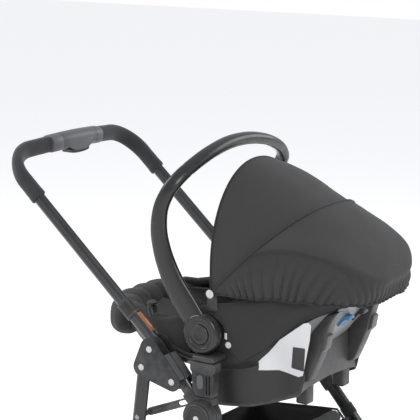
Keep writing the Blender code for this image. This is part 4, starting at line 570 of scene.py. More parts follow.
bar_place = toward(HUB, FRONT_LEG_FOOT, front_leg_length * 0.88)
bar_end = 0.20784 - LEG_WIDTH / 2 - 0.0012
bar_middle = (bar_place[0] - BAR_FORWARD, bar_place[1] - BAR_DROP)
bar_path = bent_path([(at(-bar_end, bar_place), 0), (at(-bar_end + 0.035, bar_place), 0.03),
                      (at(-bar_end + 0.085, bar_middle), 0.06), (at(bar_end - 0.085, bar_middle), 0.06),
                      (at(bar_end - 0.035, bar_place), 0.03), (at(bar_end, bar_place), 0)])
bm = bmesh.new()
rod(bm, bar_path, BAR_WIDTH, sides=28)
finished(bm, "crossbar_tube", plated, "chassis", "tube", ["front_crossbar"])
bm = bmesh.new()
for side in (-1, 1):
    spun(bm, [(0, 0.1975), (0.0112, 0.1975), (0.0118, 0.1968), (0.0118, 0.1860), (0.0108, 0.1850), (0, 0.1850)],
         at(0, bar_place), side, steps=32)
finished(bm, "crossbar_saddles", moulded, "chassis", "housing")

# Casters: each front leg ends in a moulded barrel in which the fork's stem swivels. The fork is one glass-filled
# moulding with a trailing axle, and the wheel turns on a headed pin between its arms.
CASTER_X, CASTER_Y, TRAIL, FRONT_WHEEL_RADIUS = 0.203, -0.277, 0.046, 0.080
FRONT_AXLE = (CASTER_Y + TRAIL, FRONT_WHEEL_RADIUS)
UPRIGHT = (0, 0, 1)
for label, side in SIDES:
    x = side * CASTER_X
    swivel = (x, HUB_Y + CASTER_Y, 0)
    bm = bmesh.new()
    spun(bm, [(0, 0.2003), (0.0155, 0.2003), (0.0164, 0.2012), (0.0164, 0.2070), (0.0156, 0.2078), (0.0156, 0.2090),
              (0.0164, 0.2098), (0.0164, 0.2680), (0.0158, 0.2705), (0.0140, 0.2745), (0.0105, 0.2778),
              (0.0050, 0.2789), (0, 0.2790)], swivel, axis=UPRIGHT, steps=44)
    sweep(bm, [(front_leg_place(side, front_leg_length + distance), width, depth) for distance, width, depth in
               ((-0.030, 0.0245, 0.0385), (-0.027, 0.026, 0.040), (0.012, 0.026, 0.040), (0.016, 0.023, 0.036))],
          power=2.5, level=LEVEL)
    finished(bm, f"caster_barrel_{label}", moulded, "chassis", "housing", [f"caster_housing_{label}"])
    bm = bmesh.new()
    for low, high in ((-0.0255, -0.0195), (0.0195, 0.0255)):
        plate(bm, belt([(*FRONT_AXLE, 0.0125), (CASTER_Y, 0.178, 0.017)], 16), x + low, x + high, 0.0018, 3)
    plate(bm, belt([(CASTER_Y + 0.006, 0.180, 0.014), (CASTER_Y - 0.004, 0.180, 0.014)], 14), x - 0.0235, x + 0.0235)
    spun(bm, [(0, 0.176), (0.0165, 0.176), (0.0165, 0.1960), (0.0158, 0.1975), (0.0152, 0.1997), (0.006, 0.1997),
              (0.006, 0.2340), (0, 0.2340)], swivel, axis=UPRIGHT, steps=40)
    spun(bm, [(0, -0.0276), (0.0050, -0.0276), (0.0068, -0.0268), (0.0070, -0.0255), (0.0050, -0.0250),
              (0.0050, 0.0250), (0.0070, 0.0255), (0.0068, 0.0268), (0.0050, 0.0276), (0, 0.0276)],
         at(x, FRONT_AXLE), steps=28)
    finished(bm, f"fork_moulding_{label}", moulded, f"caster_{label}", "housing", [f"caster_fork_{label}"])

# Wheels: black injection-moulded rims with five forked spokes, and foamed rubber tyres with a cut tread. The rear
# ones are half as large again, and all four turn freely on their axles.
REAR_WHEEL_X, REAR_WHEEL_RADIUS, SPOKES, TREADS = 0.2835, 0.117, 5, 84
REAR_AXLE = (0.257, REAR_WHEEL_RADIUS)
rim_black = hard_finish("rim_moulding", (0.040, 0.040, 0.042), 0.40, scale=1300, depth=0.00004, highlight=0.8)
rubber = hard_finish("tyre_rubber", (0.026, 0.026, 0.026), 0.86, scale=1800, depth=0.00009, highlight=0.25, change=0.35)


def tread(name, centre, radius, depth, half, body):
    """The tyre: its lugs stand between cuts, on every third of the turned faces outside its middle."""
    bm = bmesh.new()
    flank = [(radius - depth + 0.0004, 0.80), (radius - depth * 0.78, 0.93), (radius - depth * 0.48, 1.0),
             (radius - depth * 0.26, 0.95), (radius - depth * 0.08, 0.72), (radius - 0.0002, 0.47), (radius, 0.40),
             (radius, 0.06), (radius - 0.0014, 0.045)]
    profile = [(r, -share * half) for r, share in flank] + [(r, share * half) for r, share in flank[::-1]]
    spun(bm, profile, centre, steps=TREADS, closed=True)
    bmesh.ops.remove_doubles(bm, verts=bm.verts, dist=WELD)
    bmesh.ops.recalc_face_normals(bm, faces=bm.faces)
    cuts = []
    for face in bm.faces:
        middle = face.calc_center_median() - centre
        turn = math.atan2(middle.z, middle.y) / (2 * math.pi) * TREADS
        outer = math.hypot(middle.y, middle.z) > radius - depth * 0.2
        if outer and abs(middle.x) > half * 0.1 and math.floor(turn + (1.5 if middle.x > 0 else 0)) % 3 == 0:
            cuts.append(face)
    bmesh.ops.inset_region(bm, faces=cuts, thickness=0.0005, depth=-0.0012, use_even_offset=True)
    finished(bm, f"{name}_tread", rubber, body, "tyre", [f"{name}_tyre"], sharp=28)


def mirrored(half_profile):
    """A profile given for offsets from the outside in to the middle, and its mirror image."""
    return [(r, -offset) for r, offset in half_profile] + [(r, offset) for r, offset in half_profile[::-1]]


def wheel(name, centre, radius, width, body):
    depth, half = radius * 0.20, width / 2
    inner, wall, lip = radius - depth, radius * 0.085, half * 0.80
    tread(name, centre, radius, depth, half, body)
    bm = bmesh.new()
    spun(bm, [(inner, -lip), (inner, lip), (inner - 0.0012, lip + 0.0010), (inner - 0.0030, lip + 0.0010),
              (inner - 0.0045, lip - 0.0010), (inner - wall * 0.8, lip * 0.55), (inner - wall, lip * 0.25),
              (inner - wall, -lip * 0.25), (inner - wall * 0.8, -lip * 0.55), (inner - 0.0045, 0.0010 - lip),
              (inner - 0.0030, -lip - 0.0010), (inner - 0.0012, -lip - 0.0010)], centre, steps=84, closed=True)
    core, side = radius * 0.19, half * 0.92
    spun(bm, mirrored([(0.0053, side), (core * 0.70, side), (core * 0.74, side - 0.0012),
                       (core * 0.96, side - 0.0020), (core, side - 0.0035)]), centre, steps=48, closed=True)
    trunk, branch, fork_at, reach = radius * 0.075, radius * 0.045, radius * 0.44, inner - wall * 0.5
    limit, thick = math.hypot(reach, branch), width * 0.2
    low_half = [(core * 0.7, -trunk), (fork_at * 0.8, -trunk * 0.82), (fork_at * 1.05, -trunk * 1.05),
                (reach * 0.86, -reach * 0.20 - branch), (reach, -reach * 0.27 - branch),
                (reach, -reach * 0.27 + branch), (fork_at + trunk * 1.9, -trunk * 0.35)]
    outline = low_half + [(fork_at + trunk * 1.5, 0)] + [(u, -v) for u, v in low_half[::-1]]
    for index in range(SPOKES):
        turn = 2 * math.pi * index / SPOKES + math.pi / 2
        spoke = []
        for u, v in outline:
            inside = min(1, limit / math.hypot(u, v))
            u, v = u * inside, v * inside
            spoke.append((centre.y - HUB_Y + u * math.cos(turn) - v * math.sin(turn),
                          centre.z + u * math.sin(turn) + v * math.cos(turn)))
        plate(bm, spoke, centre.x - thick, centre.x + thick, edge=radius * 0.016)
    finished(bm, f"{name}_spokes", rim_black, body, "rim", [f"{name}_rim"])


for label, side in SIDES:
    wheel(f"front_{label}", at(side * CASTER_X, FRONT_AXLE), FRONT_WHEEL_RADIUS, 0.032, f"front_wheel_{label}")
    wheel(f"rear_{label}", at(side * REAR_WHEEL_X, REAR_AXLE), REAR_WHEEL_RADIUS, 0.034, f"rear_wheel_{label}")

# Rear legs: the same oval tube as the front, each with a foot that reaches back to a stub axle, a cross rod
# between them, a foot lever for the brake and a slotted link that rides on the hub's pin as the frame folds.
REAR_LEG_FOOT = (0.191, 0.172)
LINK_LEG_PLACE = toward(REAR_LEG_PIVOT, REAR_LEG_FOOT, 0.1138)
BRAKE_PLACE, BRAKE_INNER = (0.232, 0.152), 0.2382
BRAKE_TOE = (BRAKE_PLACE[0] + 0.052, BRAKE_PLACE[1] + 0.020)
ROD_DISTANCE = 0.398
rear_leg_length = math.dist(REAR_LEG_PIVOT, REAR_LEG_FOOT)


def rear_leg_place(side, distance):
    return at(side * (0.244 + 0.008 * max(0, distance) / rear_leg_length),
              toward(REAR_LEG_PIVOT, REAR_LEG_FOOT, distance))


for label, side in SIDES:
    bm = bmesh.new()
    sweep(bm, [(rear_leg_place(side, -0.016), LEG_WIDTH * 0.94, LEG_DEPTH * 0.86)]
          + [(rear_leg_place(side, d), LEG_WIDTH, LEG_DEPTH) for d in (-0.013, 0, 0.15, 0.30, rear_leg_length)],
          channel=0.10, level=LEVEL)
    finished(bm, f"rear_leg_tube_{label}", graphite, "rear_frame", "tube", [f"rear_leg_{label}"])
    bm = bmesh.new()
    spun(bm, [(0, 0.2009), (0.0050, 0.2009), (0.0060, 0.2016), (0.0060, 0.2029), (0.0030, 0.2029), (0.0030, 0.2080),
              (0.0055, 0.2080), (0.0055, 0.2550), (0.0046, 0.2564), (0, 0.2568)], at(0, LINK_LEG_PLACE), side, steps=28)
    finished(bm, f"link_pin_{label}", plated, "rear_frame", "tube")
    bm = bmesh.new()
    plate(bm, belt([(*REAR_AXLE, 0.019), (*toward(REAR_LEG_FOOT, REAR_AXLE, -0.002), 0.024)], 20),
          *span(side, 0.239, 0.265), edge=0.003, segments=3)
    plate(bm, belt([(*toward(REAR_AXLE, REAR_LEG_FOOT, distance), radius) for distance, radius in
                    ((0.012, 0.005), (0.052, 0.011))]), *span(side, 0.2655, 0.2640), edge=0.0004)
    sweep(bm, [(rear_leg_place(side, rear_leg_length + distance), width, depth) for distance, width, depth in
               ((-0.030, 0.0245, 0.0385), (-0.027, 0.026, 0.040), (0, 0.026, 0.040))], power=2.5, level=LEVEL)
    spun(bm, [(0, 0.249), (0.005, 0.249), (0.005, 0.264), (0.011, 0.264), (0.0092, 0.2674), (0.005, 0.2676),
              (0.005, 0.2995), (0.0105, 0.2995), (0.0103, 0.3006), (0.0085, 0.3018), (0.0045, 0.3023), (0, 0.3024)],
         at(0, REAR_AXLE), side, steps=36)
    finished(bm, f"wheel_foot_{label}", moulded, "rear_frame", "housing", [f"rear_fitting_{label}"])
    bm = bmesh.new()
    toe, inner = BRAKE_TOE, BRAKE_INNER
    plate(bm, belt([(*BRAKE_PLACE, 0.0095), (*toe, 0.0062)], 14), *span(side, inner - 0.007, inner), edge=0.0012)
    plate(bm, belt([(toe[0] - 0.012, toe[1] - 0.0035, 0.0045), (toe[0] + 0.014, toe[1] + 0.005, 0.0045)], 10),
          *span(side, inner - 0.040, inner), edge=0.0014, segments=3)
    for index in range(5):
        rib = (toe[0] - 0.008 + 0.0045 * index, toe[1] + 0.0025 + 0.0016 * index)
        plate(bm, belt([(*rib, 0.0009), (rib[0] + 0.0008, rib[1] + 0.0003, 0.0009)], 5),
              *span(side, inner - 0.037, inner - 0.003))
    spun(bm, [(0, inner - 0.003), (0.003, inner - 0.003), (0.003, 0.2660), (0.0045, 0.2660), (0.0040, 0.2674),
              (0, 0.2676)], at(0, BRAKE_PLACE), side, steps=24)
    finished(bm, f"brake_pedal_{label}", moulded, f"brake_{label}", "housing", [f"brake_lever_{label}"])
    refinish(f"fold_link_{label}", coated_steel)

rod_place, rod_end = rear_leg_place(1, ROD_DISTANCE), rear_leg_place(1, ROD_DISTANCE).x - 0.0002
rod_place.x = 0
bm = bmesh.new()
spun(bm, [(0, -rod_end), (0.004, -rod_end), (0.004, rod_end), (0, rod_end)], rod_place, steps=24)
for side in (-1, 1):
    spun(bm, [(0, 0.2300), (0.0062, 0.2300), (0.0072, 0.2312), (0.0072, 0.2405), (0, 0.2405)], rod_place, side,
         steps=24)
finished(bm, "cross_rod_bar", plated, "rear_frame", "tube", ["rear_cross_rod"])


# Push handle: one oval tube bent up and over, pinned in the hinge brackets. A grey two-shell console clamps round
# the middle with the fold trigger under it, and foam sleeves cover both bends.
HANDLE_CORNER, HANDLE_MIDDLE = (0.533, 1.0165), (0.510, 1.030)
HANDLE_BEND, HANDLE_BOW = 0.072, 0.6


def handle_path(start, steps=14):
    """The handle's centre line from a place on the right tube, over the crossbar, to its mirror place."""
    corners = []
    for side in (-1, 1):
        lower, bend = (at(side * TUBE_X, start), 0), (at(side * TUBE_X, HANDLE_CORNER), HANDLE_BEND)
        corners += [lower, bend] if side < 0 else [(at(0, HANDLE_MIDDLE), HANDLE_BOW), bend, lower]
    return bent_path(corners, steps)


def crossbar_place(x):
    share = 1 - abs(x) / TUBE_X
    return at(x, tuple(a + (b - a) * share for a, b in zip(HANDLE_CORNER, HANDLE_MIDDLE)))


def up_handle(distance, out=0.0):
    run = (Vector(HANDLE_CORNER) - Vector(FOLD_PIVOT)).normalized()
    return tuple(Vector(FOLD_PIVOT) + run * distance + Vector((-run.y, run.x)) * out)


bm = bmesh.new()
rod(bm, handle_path(toward(FOLD_PIVOT, HANDLE_CORNER, -0.012)), TUBE_WIDTH, TUBE_DEPTH, channel=0.10)
finished(bm, "handle_oval_tube", graphite, "push_handle", "tube", ["handle_tube"])

# Foam grips: closed-cell foam sleeves, dark charcoal and matt, pushed on from both ends and cut square, with a
# slightly swollen collar where each meets the bare tube.
GRIP_INNER_X, FOAM_THICK, FOAM_COLLAR, COLLAR_LENGTH, FOAM_ROUNDING = 0.0885, 0.0078, 0.0089, 0.0120, 0.0016
foam = hard_finish("grip_foam_skin", (0.036, 0.036, 0.038), 0.88, scale=1000, depth=0.00022, highlight=0.1, spread=0.06,
                   change=0.28)
tree = foam.node_tree
own_place = add_node(tree, "TexCoord").outputs["Object"]
cells = add_node(tree, "TexVoronoi", {"Vector": own_place, "Scale": 620})
dents = add_node(tree, "Bump", {"Distance": 0.00035, "Strength": 0.7, "Height": cells.outputs["Distance"],
                                "Normal": tree.nodes["Bump"].outputs["Normal"]})
fill(tree, tree.nodes["Principled BSDF"], {"Normal": dents.outputs["Normal"], "Sheen Weight": 0.25,
                                           "Specular IOR Level": 0.25})


def run_lengths(path):
    """The length of a path up to each of its points."""
    lengths = [0.0]
    for first, second in zip(path, path[1:]):
        lengths.append(lengths[-1] + (second - first).length)
    return lengths


grip_start = toward(FOLD_PIVOT, HANDLE_CORNER, 0.4267)
for label, side in SIDES:
    whole = [point for point in handle_path(grip_start, 18) if point.x * side > GRIP_INNER_X + 0.0005]
    path = [crossbar_place(side * GRIP_INNER_X)] + (whole if side > 0 else whole[::-1])
    lengths = run_lengths(path)
    total = lengths[-1]
    spots = sorted({0.0, 0.0012, 0.0030, total - 0.0140, total - 0.0125, total - 0.0110, total - 0.0015, total}
                   | {total * step / 60 for step in range(2, 59)})
    stations = []
    for spot in spots:
        index = max(i for i, reached in enumerate(lengths) if reached <= spot + 1e-9)
        index = min(index, len(path) - 2)
        share = (spot - lengths[index]) / (lengths[index + 1] - lengths[index])
        swollen = FOAM_THICK + 0.0005 * noise.noise(Vector((spot * 40, side, 0)))
        if spot > total - COLLAR_LENGTH:
            swollen = FOAM_COLLAR
        if spot in (0.0, total):
            swollen -= FOAM_ROUNDING
        stations.append((path[index].lerp(path[index + 1], share), TUBE_WIDTH + swollen, TUBE_DEPTH + swollen))
    bm = bmesh.new()
    sweep(bm, stations, sides=40, power=2.2)
    finished(bm, f"foam_sleeve_{label}", foam, "push_handle", "grip", [f"grip_foam_{label}"], sharp=50)

# Console: two grey ABS shells screwed together round the crossbar, with a parting line along the front and back, a
# raised pad on top and a belly that houses the squeeze trigger of the fold.
CONSOLE_WIDTH, CONSOLE_DEPTH, CONSOLE_END = 0.0438, 0.0400, 0.0880
CONSOLE_SHAPE = ((CONSOLE_END, -0.004), (0.0872, -0.0012), (0.0850, 0.0), (0.0600, 0.0), (0.0585, -0.0014),
                 (0.0570, -0.0002), (0.03, 0.0002))
console_grey = hard_finish("console_grey", (0.105, 0.105, 0.110), 0.42, scale=1600, depth=0.00005, highlight=0.5)
bow = [point for point in handle_path(grip_start, 24) if abs(point.x) < 0.12]


def on_bow(x):
    """The crossbar's centre at an x between the console's ends."""
    for first, second in zip(bow, bow[1:]):
        if min(first.x, second.x) <= x <= max(first.x, second.x):
            return first.lerp(second, (x - first.x) / (second.x - first.x))
    return crossbar_place(x)


bm = bmesh.new()
spots = ([(-x, swollen) for x, swollen in CONSOLE_SHAPE] + [(0, CONSOLE_SHAPE[-1][1])]
         + list(CONSOLE_SHAPE[::-1]))
sweep(bm, [(on_bow(x), CONSOLE_WIDTH + swollen, CONSOLE_DEPTH + swollen) for x, swollen in spots], sides=48, power=2.5)
for vert in bm.verts:
    middle = on_bow(max(0.0001 - CONSOLE_END, min(CONSOLE_END - 0.0001, vert.co.x)))
    if abs(vert.co.z - middle.z) < 0.0016:
        vert.co.y += (middle.y - vert.co.y) * 0.035
finished(bm, "console_shells", console_grey, "push_handle", "console", ["handle_console"], sharp=24)


def belly(half, low, high, y_low, y_high, steps=20):
    """A flat top with a rounded underside, as corners at y_low, and the move to y_high."""
    curve = [math.pi * (1 + step / steps) for step in range(steps + 1)]
    outline = [(half, high), (-half, high)]
    outline += [(half * math.cos(a), low + (high - low) * (0.55 + 0.55 * math.sin(a))) for a in curve]
    return [(x, y_low, z) for x, z in outline], (0, y_high - y_low, 0)


middle = at(0, HANDLE_MIDDLE)
bm = bmesh.new()
for near, far in ((-0.0170, -0.0130), (0.0130, 0.0170)):
    slab(bm, *belly(0.042, middle.z - 0.027, middle.z, middle.y + near, middle.y + far), edge=0.0012, segments=3)
finished(bm, "console_cheeks", console_grey, "push_handle", "console")
bm = bmesh.new()
slab(bm, *belly(0.036, middle.z - 0.034, middle.z - 0.0236, middle.y - 0.0123, middle.y + 0.0123), edge=0.0022,
     segments=3)
finished(bm, "trigger_bar", moulded, "trigger", "housing", ["fold_trigger"])

# Lock sleeves and indicators: a moulded collar slides on each side tube over the fold lock, and a copper-orange
# strip let into the front of the tube below it shows that the lock is home.
SLEEVE_START, SLEEVE_WALL, STRIP_HALF = 0.084, 0.0056, 0.0062
SLEEVE_SHAPE = ((0, -0.0014), (0.0012, 0), (0.0060, 0), (0.0068, -0.0010), (0.0080, -0.0010), (0.0088, 0), (0.0320, 0),
                (0.0326, 0.0002), (0.0388, 0), (0.0400, -0.0014))
STRIP = ((0.031, 0.0138), (0.082, 0.0138), (0.082, 0.0156), (0.080, 0.0162), (0.033, 0.0162), (0.031, 0.0156))
copper = hard_finish("indicator_copper", (0.42, 0.145, 0.045), 0.34, 0.35, scale=700, depth=0.00001, highlight=0.5)
for label, side in SIDES:
    bm = bmesh.new()
    sweep(bm, [(at(side * TUBE_X, up_handle(SLEEVE_START + along)), TUBE_WIDTH + SLEEVE_WALL + swollen,
                TUBE_DEPTH + SLEEVE_WALL + swollen) for along, swollen in SLEEVE_SHAPE], sides=40, power=2.2)
    finished(bm, f"sleeve_collar_{label}", moulded, "sleeves", "housing", [f"lock_sleeve_{label}"])
    bm = bmesh.new()
    plate(bm, [up_handle(*place) for place in STRIP], *span(side, TUBE_X - STRIP_HALF, TUBE_X + STRIP_HALF),
          edge=0.0008)
    finished(bm, f"lock_strip_{label}", copper, "push_handle", "console")


# Basket: one bag of charcoal polyester hung between the front legs. It has a bound upper edge, piped side seams, a
# padded lip on the top of its sloping front, and webbing loops that hold it to the legs.
BASKET_SIDE = ((0.150, 0.408), (0.151, 0.288), (-0.210, 0.204), (-0.2375, 0.224), (-0.2335, 0.268), (-0.085, 0.434))
BASKET_REAR_HALF, BASKET_FRONT_HALF, BASKET_CORNER, BASKET_CLOTH = 0.203, 0.176, 0.028, 0.0018
BINDING_SIZE, PIPING_SIZE, LOOP_DISTANCES = 0.0055, 0.0042, (0.120, 0.320)
LIP_HALF, LIP_PLACE = 0.174, (-0.0925, 0.4258)

# Weave: rounded yarn crossings on the piece's own coordinates, with flecks of lighter yarn
weave, own_place, taken, given = new_effect("weave", {"Pitch": 4200.0, "Fleck": 900.0}, ("Height", "Fleck", "Cloud"))
turned = add_node(weave, "Mapping", {"Vector": own_place, "Rotation": (0.5, 0.4, 0.78)})
yarns = add_node(weave, "VectorMath", {0: turned.outputs[0], "Scale": taken["Pitch"]}, operation="SCALE")
crossing = add_node(weave, "VectorMath", {0: yarns.outputs[0]}, operation="SINE")
summed = add_node(weave, "VectorMath", {0: crossing.outputs[0], 1: (0.33, 0.33, 0.33)}, operation="DOT_PRODUCT")
flecks = add_node(weave, "TexNoise", {"Vector": own_place, "Scale": taken["Fleck"], "Detail": 2})
clouds = add_node(weave, "TexNoise", {"Vector": own_place, "Scale": 9, "Detail": 5})
fill(weave, given, {"Height": summed.outputs["Value"], "Fleck": flecks.outputs["Fac"], "Cloud": clouds.outputs["Fac"]})


def cloth_finish(name, colour, roughness=0.86, sheen=0.12, pitch=4200.0, depth=0.00012):
    """Woven cloth: flecked and cloudy colour, uneven roughness and raised yarns."""
    material, surface = new_finish(name, weave, (0, 1), roughness, 0.06, depth, Pitch=pitch)
    tree = material.node_tree
    base = blended(tree, surface["Cloud"], toned(colour, -0.12), toned(colour, 0.12))
    light = add_node(tree, "MapRange", {"Value": surface["Fleck"], "From Min": 0.50, "From Max": 0.75})
    flecked = blended(tree, light.outputs["Result"], base, toned(colour, 0.30))
    fill(tree, tree.nodes["Principled BSDF"], {"Base Color": flecked, "Sheen Weight": sheen, "Sheen Roughness": 0.5,
                                               "Specular IOR Level": 0.25})
    return material


def thickened(piece, thickness, offset=-1.0):
    """Cloth of even thickness, laid on one side of the modelled surface."""
    wall = piece.modifiers.new("cloth", "SOLIDIFY")
    wall.thickness = thickness
    wall.offset = offset
    return piece


def ripple(point, size, reach):
    """A smooth, repeatable unevenness at a point, from -reach to reach."""
    return noise.noise(Vector(point) / size) * reach


def sliced(bm, step):
    """Cuts every face along even planes on the three axes, so that the cloth can bend."""
    for axis in range(3):
        places = [vert.co[axis] for vert in bm.verts]
        for index in range(1, int((max(places) - min(places)) / step) + 1):
            centre, normal = Vector(), Vector()
            centre[axis], normal[axis] = min(places) + index * step, 1
            bmesh.ops.bisect_plane(bm, geom=bm.verts[:] + bm.edges[:] + bm.faces[:], plane_co=centre, plane_no=normal,
                                   dist=0.0002)


fabric = cloth_finish("charcoal_polyester", (0.034, 0.0335, 0.0325))
binding = cloth_finish("binding_tape", (0.022, 0.022, 0.024), 0.75, pitch=5200.0)
webbing = cloth_finish("black_webbing", (0.016, 0.016, 0.017), 0.62, pitch=3000.0, depth=0.0002)


def basket_half(y):
    rear, front = BASKET_SIDE[1][0], BASKET_SIDE[3][0]
    return BASKET_REAR_HALF + (BASKET_FRONT_HALF - BASKET_REAR_HALF) * min(1, max(0, (rear - y) / (rear - front)))


bm = bmesh.new()
walls = [[bm.verts.new(at(side * basket_half(place[0]), place)) for place in BASKET_SIDE] for side in (1, -1)]
bm.faces.new(walls[0])
bm.faces.new(walls[1][::-1])
for index in range(len(BASKET_SIDE) - 1):
    bm.faces.new((walls[0][index], walls[1][index], walls[1][index + 1], walls[0][index + 1]))
bmesh.ops.recalc_face_normals(bm, faces=bm.faces)
rim_corners = {walls[0][0], walls[1][0], walls[0][-1], walls[1][-1]}
folds = [edge for edge in bm.edges if len(edge.link_faces) == 2 and not set(edge.verts) <= rim_corners]
bmesh.ops.bevel(bm, geom=folds, offset=BASKET_CORNER, segments=5, profile=0.5, affect="EDGES", material=-1)
sliced(bm, 0.022)
bm.normal_update()
for vert in bm.verts:
    y, height = vert.co.y - HUB_Y, vert.co.z
    held = 0 if vert.is_boundary else min(1, min(abs(edge.calc_length()) for edge in vert.link_edges) / 0.002)
    sag = max(0, 1 - (vert.co.x / 0.19) ** 2) * max(0, 1 - ((y + 0.03) / 0.19) ** 2) * 0.003
    vert.co += vert.normal * ripple(vert.co, 0.06, 0.0025) * held
    if vert.normal.z < -0.6:
        vert.co.z -= sag * held
    elif not vert.is_boundary:
        vert.co += vert.normal * 0.002 * math.sin(max(0, min(1, (height - 0.23) / 0.2)) * math.pi)
basket_cloth = finished(bm, "basket_cloth", fabric, "chassis", "fabric", ["basket"], sharp=60, turn_out=False)
thickened(basket_cloth, BASKET_CLOTH)

RIM_PATH = ((0.004, BASKET_SIDE[0]), (0.172, BASKET_SIDE[0]), (0.186, (0.1475, 0.4085)), (0.1965, (0.139, 0.4095)),
            (0.2015, (0.125, 0.411)), (basket_half(0.10), (0.100, 0.4135)), (basket_half(-0.04), (-0.040, 0.429)),
            (basket_half(-0.085), (-0.084, 0.4335)), (basket_half(-0.10), (-0.098, 0.419)),
            (basket_half(-0.20), (-0.203, 0.302)), (basket_half(-0.22) - 0.004, (-0.221, 0.282)),
            (basket_half(-0.23) - 0.013, (-0.230, 0.272)), (basket_half(-0.2335) - 0.028, (-0.2345, 0.268)),
            (0, (-0.2345, 0.268)))
SEAM_PATH = ((0.1442, 0.402), (0.1435, 0.318), (0.139, 0.300), (0.122, 0.290), (-0.180, 0.2195), (-0.204, 0.2175),
             (-0.219, 0.225), (-0.228, 0.240), (-0.2265, 0.262))
bm = bmesh.new()
for side in (1, -1):
    rod(bm, [at(side * x, place) for x, place in RIM_PATH], BINDING_SIZE, sides=10)
finished(bm, "basket_edge_binding", binding, "chassis", "fabric")
for label, side in SIDES:
    bm = bmesh.new()
    rod(bm, [at(side * (basket_half(y) - 0.0075), (y, z)) for y, z in SEAM_PATH], PIPING_SIZE, sides=10)
    finished(bm, f"basket_seam_piping_{label}", binding, "chassis", "fabric")
    bm = bmesh.new()
    for distance in LOOP_DISTANCES:
        rod(bm, [front_leg_place(side, distance + step) for step in (0, 0.004, 0.021, 0.025)], LEG_WIDTH + 0.003,
            LEG_DEPTH + 0.003, power=2.2, level=LEVEL)
        middle = front_leg_place(side, distance + 0.0125)
        x = side * basket_half(middle.y - HUB_Y)
        block(bm, (min(x, middle.x) - 0.001, middle.y - 0.012, middle.z - 0.014),
              (max(x, middle.x) + 0.001, middle.y - 0.0005, middle.z - 0.0115), 0.0006)
    finished(bm, f"basket_leg_loops_{label}", webbing, "chassis", "webbing")
bm = bmesh.new()
lip = []
for step in range(33):
    x = LIP_HALF * (step / 16 - 1)
    end = 0.72 + 0.28 * math.sqrt(max(0, min(1, (LIP_HALF - abs(x)) / 0.012)))
    lip.append((at(x, (LIP_PLACE[0], LIP_PLACE[1] - 0.001 * math.cos(x * 120))), 0.011 * end,
                0.030 * end * (1 + 0.03 * math.sin(x * 90))))
sweep(bm, lip, sides=28, power=2.2, level=(0, -0.745, 0.667))
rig.padded(finished(bm, "basket_lip_pad", fabric, "chassis", "padding", sharp=60), fill=0.5)
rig.sheet(basket_cloth, flat=(0.74, 0.66), held="hung", rests_on=["front_leg_tube_right", "front_leg_tube_left"],
         area=0.41, with_pieces=["basket_edge_binding", "basket_seam_piping_right", "basket_seam_piping_left",
                                 "basket_leg_loops_right", "basket_leg_loops_left"])


# Carrier shell: one moulded bowl, dark outside, with seats for the adapter posts and bosses for the carry handle. A
# pale grey sheet over the back paints the light falling on the dark shell there, a painted highlight. The rounded sides
# draw in towards the floor, and a pale peg and button hold the cover.
SHELL_HALF, SHELL_FOOT, SHELL_HEAD, SHELL_WALL, SHELL_LIP = 0.196, 0.322, 0.308, 0.005, 0.0012
RIM_HEIGHTS = ((-0.338, 0.832), (-0.25, 0.812), (-0.15, 0.782), (-0.05, 0.752), (0.03, 0.738), (0.07, 0.712),
               (0.12, 0.694), (0.20, 0.690), (0.27, 0.696), (0.322, 0.694))
FLOOR_HEIGHTS = ((-0.338, 0.790), (-0.276, 0.734), (-0.181, 0.657), (-0.09, 0.607), (0.02, 0.585), (0.12, 0.590),
                 (0.22, 0.610), (0.322, 0.655))
WALL_TAPER = ((0, 1), (0.5, 0.985), (0.80, 0.94), (0.94, 0.83), (1, 0.60))
HEAD_TAPER = ((0, 1), (0.25, 0.965), (0.5, 0.86), (0.75, 0.72), (0.94, 0.61), (1, 0.50))
CARRIER_HUB = (0.014, 0.688)
POST_SEAT = (0.6323, 0.6448)
FLOOR_TURN = 1.35


def read(profile, value, spread=0.0):
    """The profile's height at a value; a spread rounds off its corners."""
    if spread:
        return sum(read(profile, value + spread * share) for share in (-1, -0.5, 0, 0.5, 1)) / 5
    if value <= profile[0][0]:
        return profile[0][1]
    for (start, low), (end, high) in zip(profile, profile[1:]):
        if value <= end:
            return low + (high - low) * (value - start) / (end - start)
    return profile[-1][1]


def between(low, high, value):
    """0 below the first value, 1 above the second, smooth between them."""
    share = min(1, max(0, (value - low) / (high - low)))
    return share * share * (3 - 2 * share)


def bowl(depth, angle, inset=0.0, lift=0.0, narrow=1.0):
    """A point on the bowl: depth 0 at the rim and 1 at the floor, or a function of y; an angle round it."""
    power, length = (2.5, SHELL_FOOT) if math.sin(angle) > 0 else (2.7, SHELL_HEAD)
    out_x, out_y = (math.copysign(abs(part) ** (2 / power), part) for part in (math.cos(angle), math.sin(angle)))
    share = depth(length * out_y) if callable(depth) else depth
    headward = between(0.05, 0.17, -length * out_y)
    taper = (read(WALL_TAPER, share, 0.03) * (1 - headward) + read(HEAD_TAPER, share, 0.03) * headward) * narrow
    place = (length - inset) * out_y * taper
    rim, floor = (read(heights, length * out_y * taper, 0.02) for heights in (RIM_HEIGHTS, FLOOR_HEIGHTS))
    z = rim * (1 - share) + (floor + max(inset, 0)) * share + lift + min(inset, 0) * share
    return at((SHELL_HALF - inset) * out_x * taper, (place, z))


def mapped_grid(bm, across, along, place):
    """A grid laid out by a function of two shares from 0 to 1."""
    for vert in bmesh.ops.create_grid(bm, x_segments=across, y_segments=along, size=0.5)["verts"]:
        vert.co = place(vert.co.x + 0.5, vert.co.y + 0.5)


def down_bowl(turn, angle, inset, first=0.0):
    """A point at a turn of 0 at the rim, 1 at the floor's edge and FLOOR_TURN at its middle."""
    narrow = 1 - 0.97 * max(0, turn - 1) / (FLOOR_TURN - 1)
    return bowl(first + (1 - first) * min(turn, 1), angle, inset, narrow=narrow)


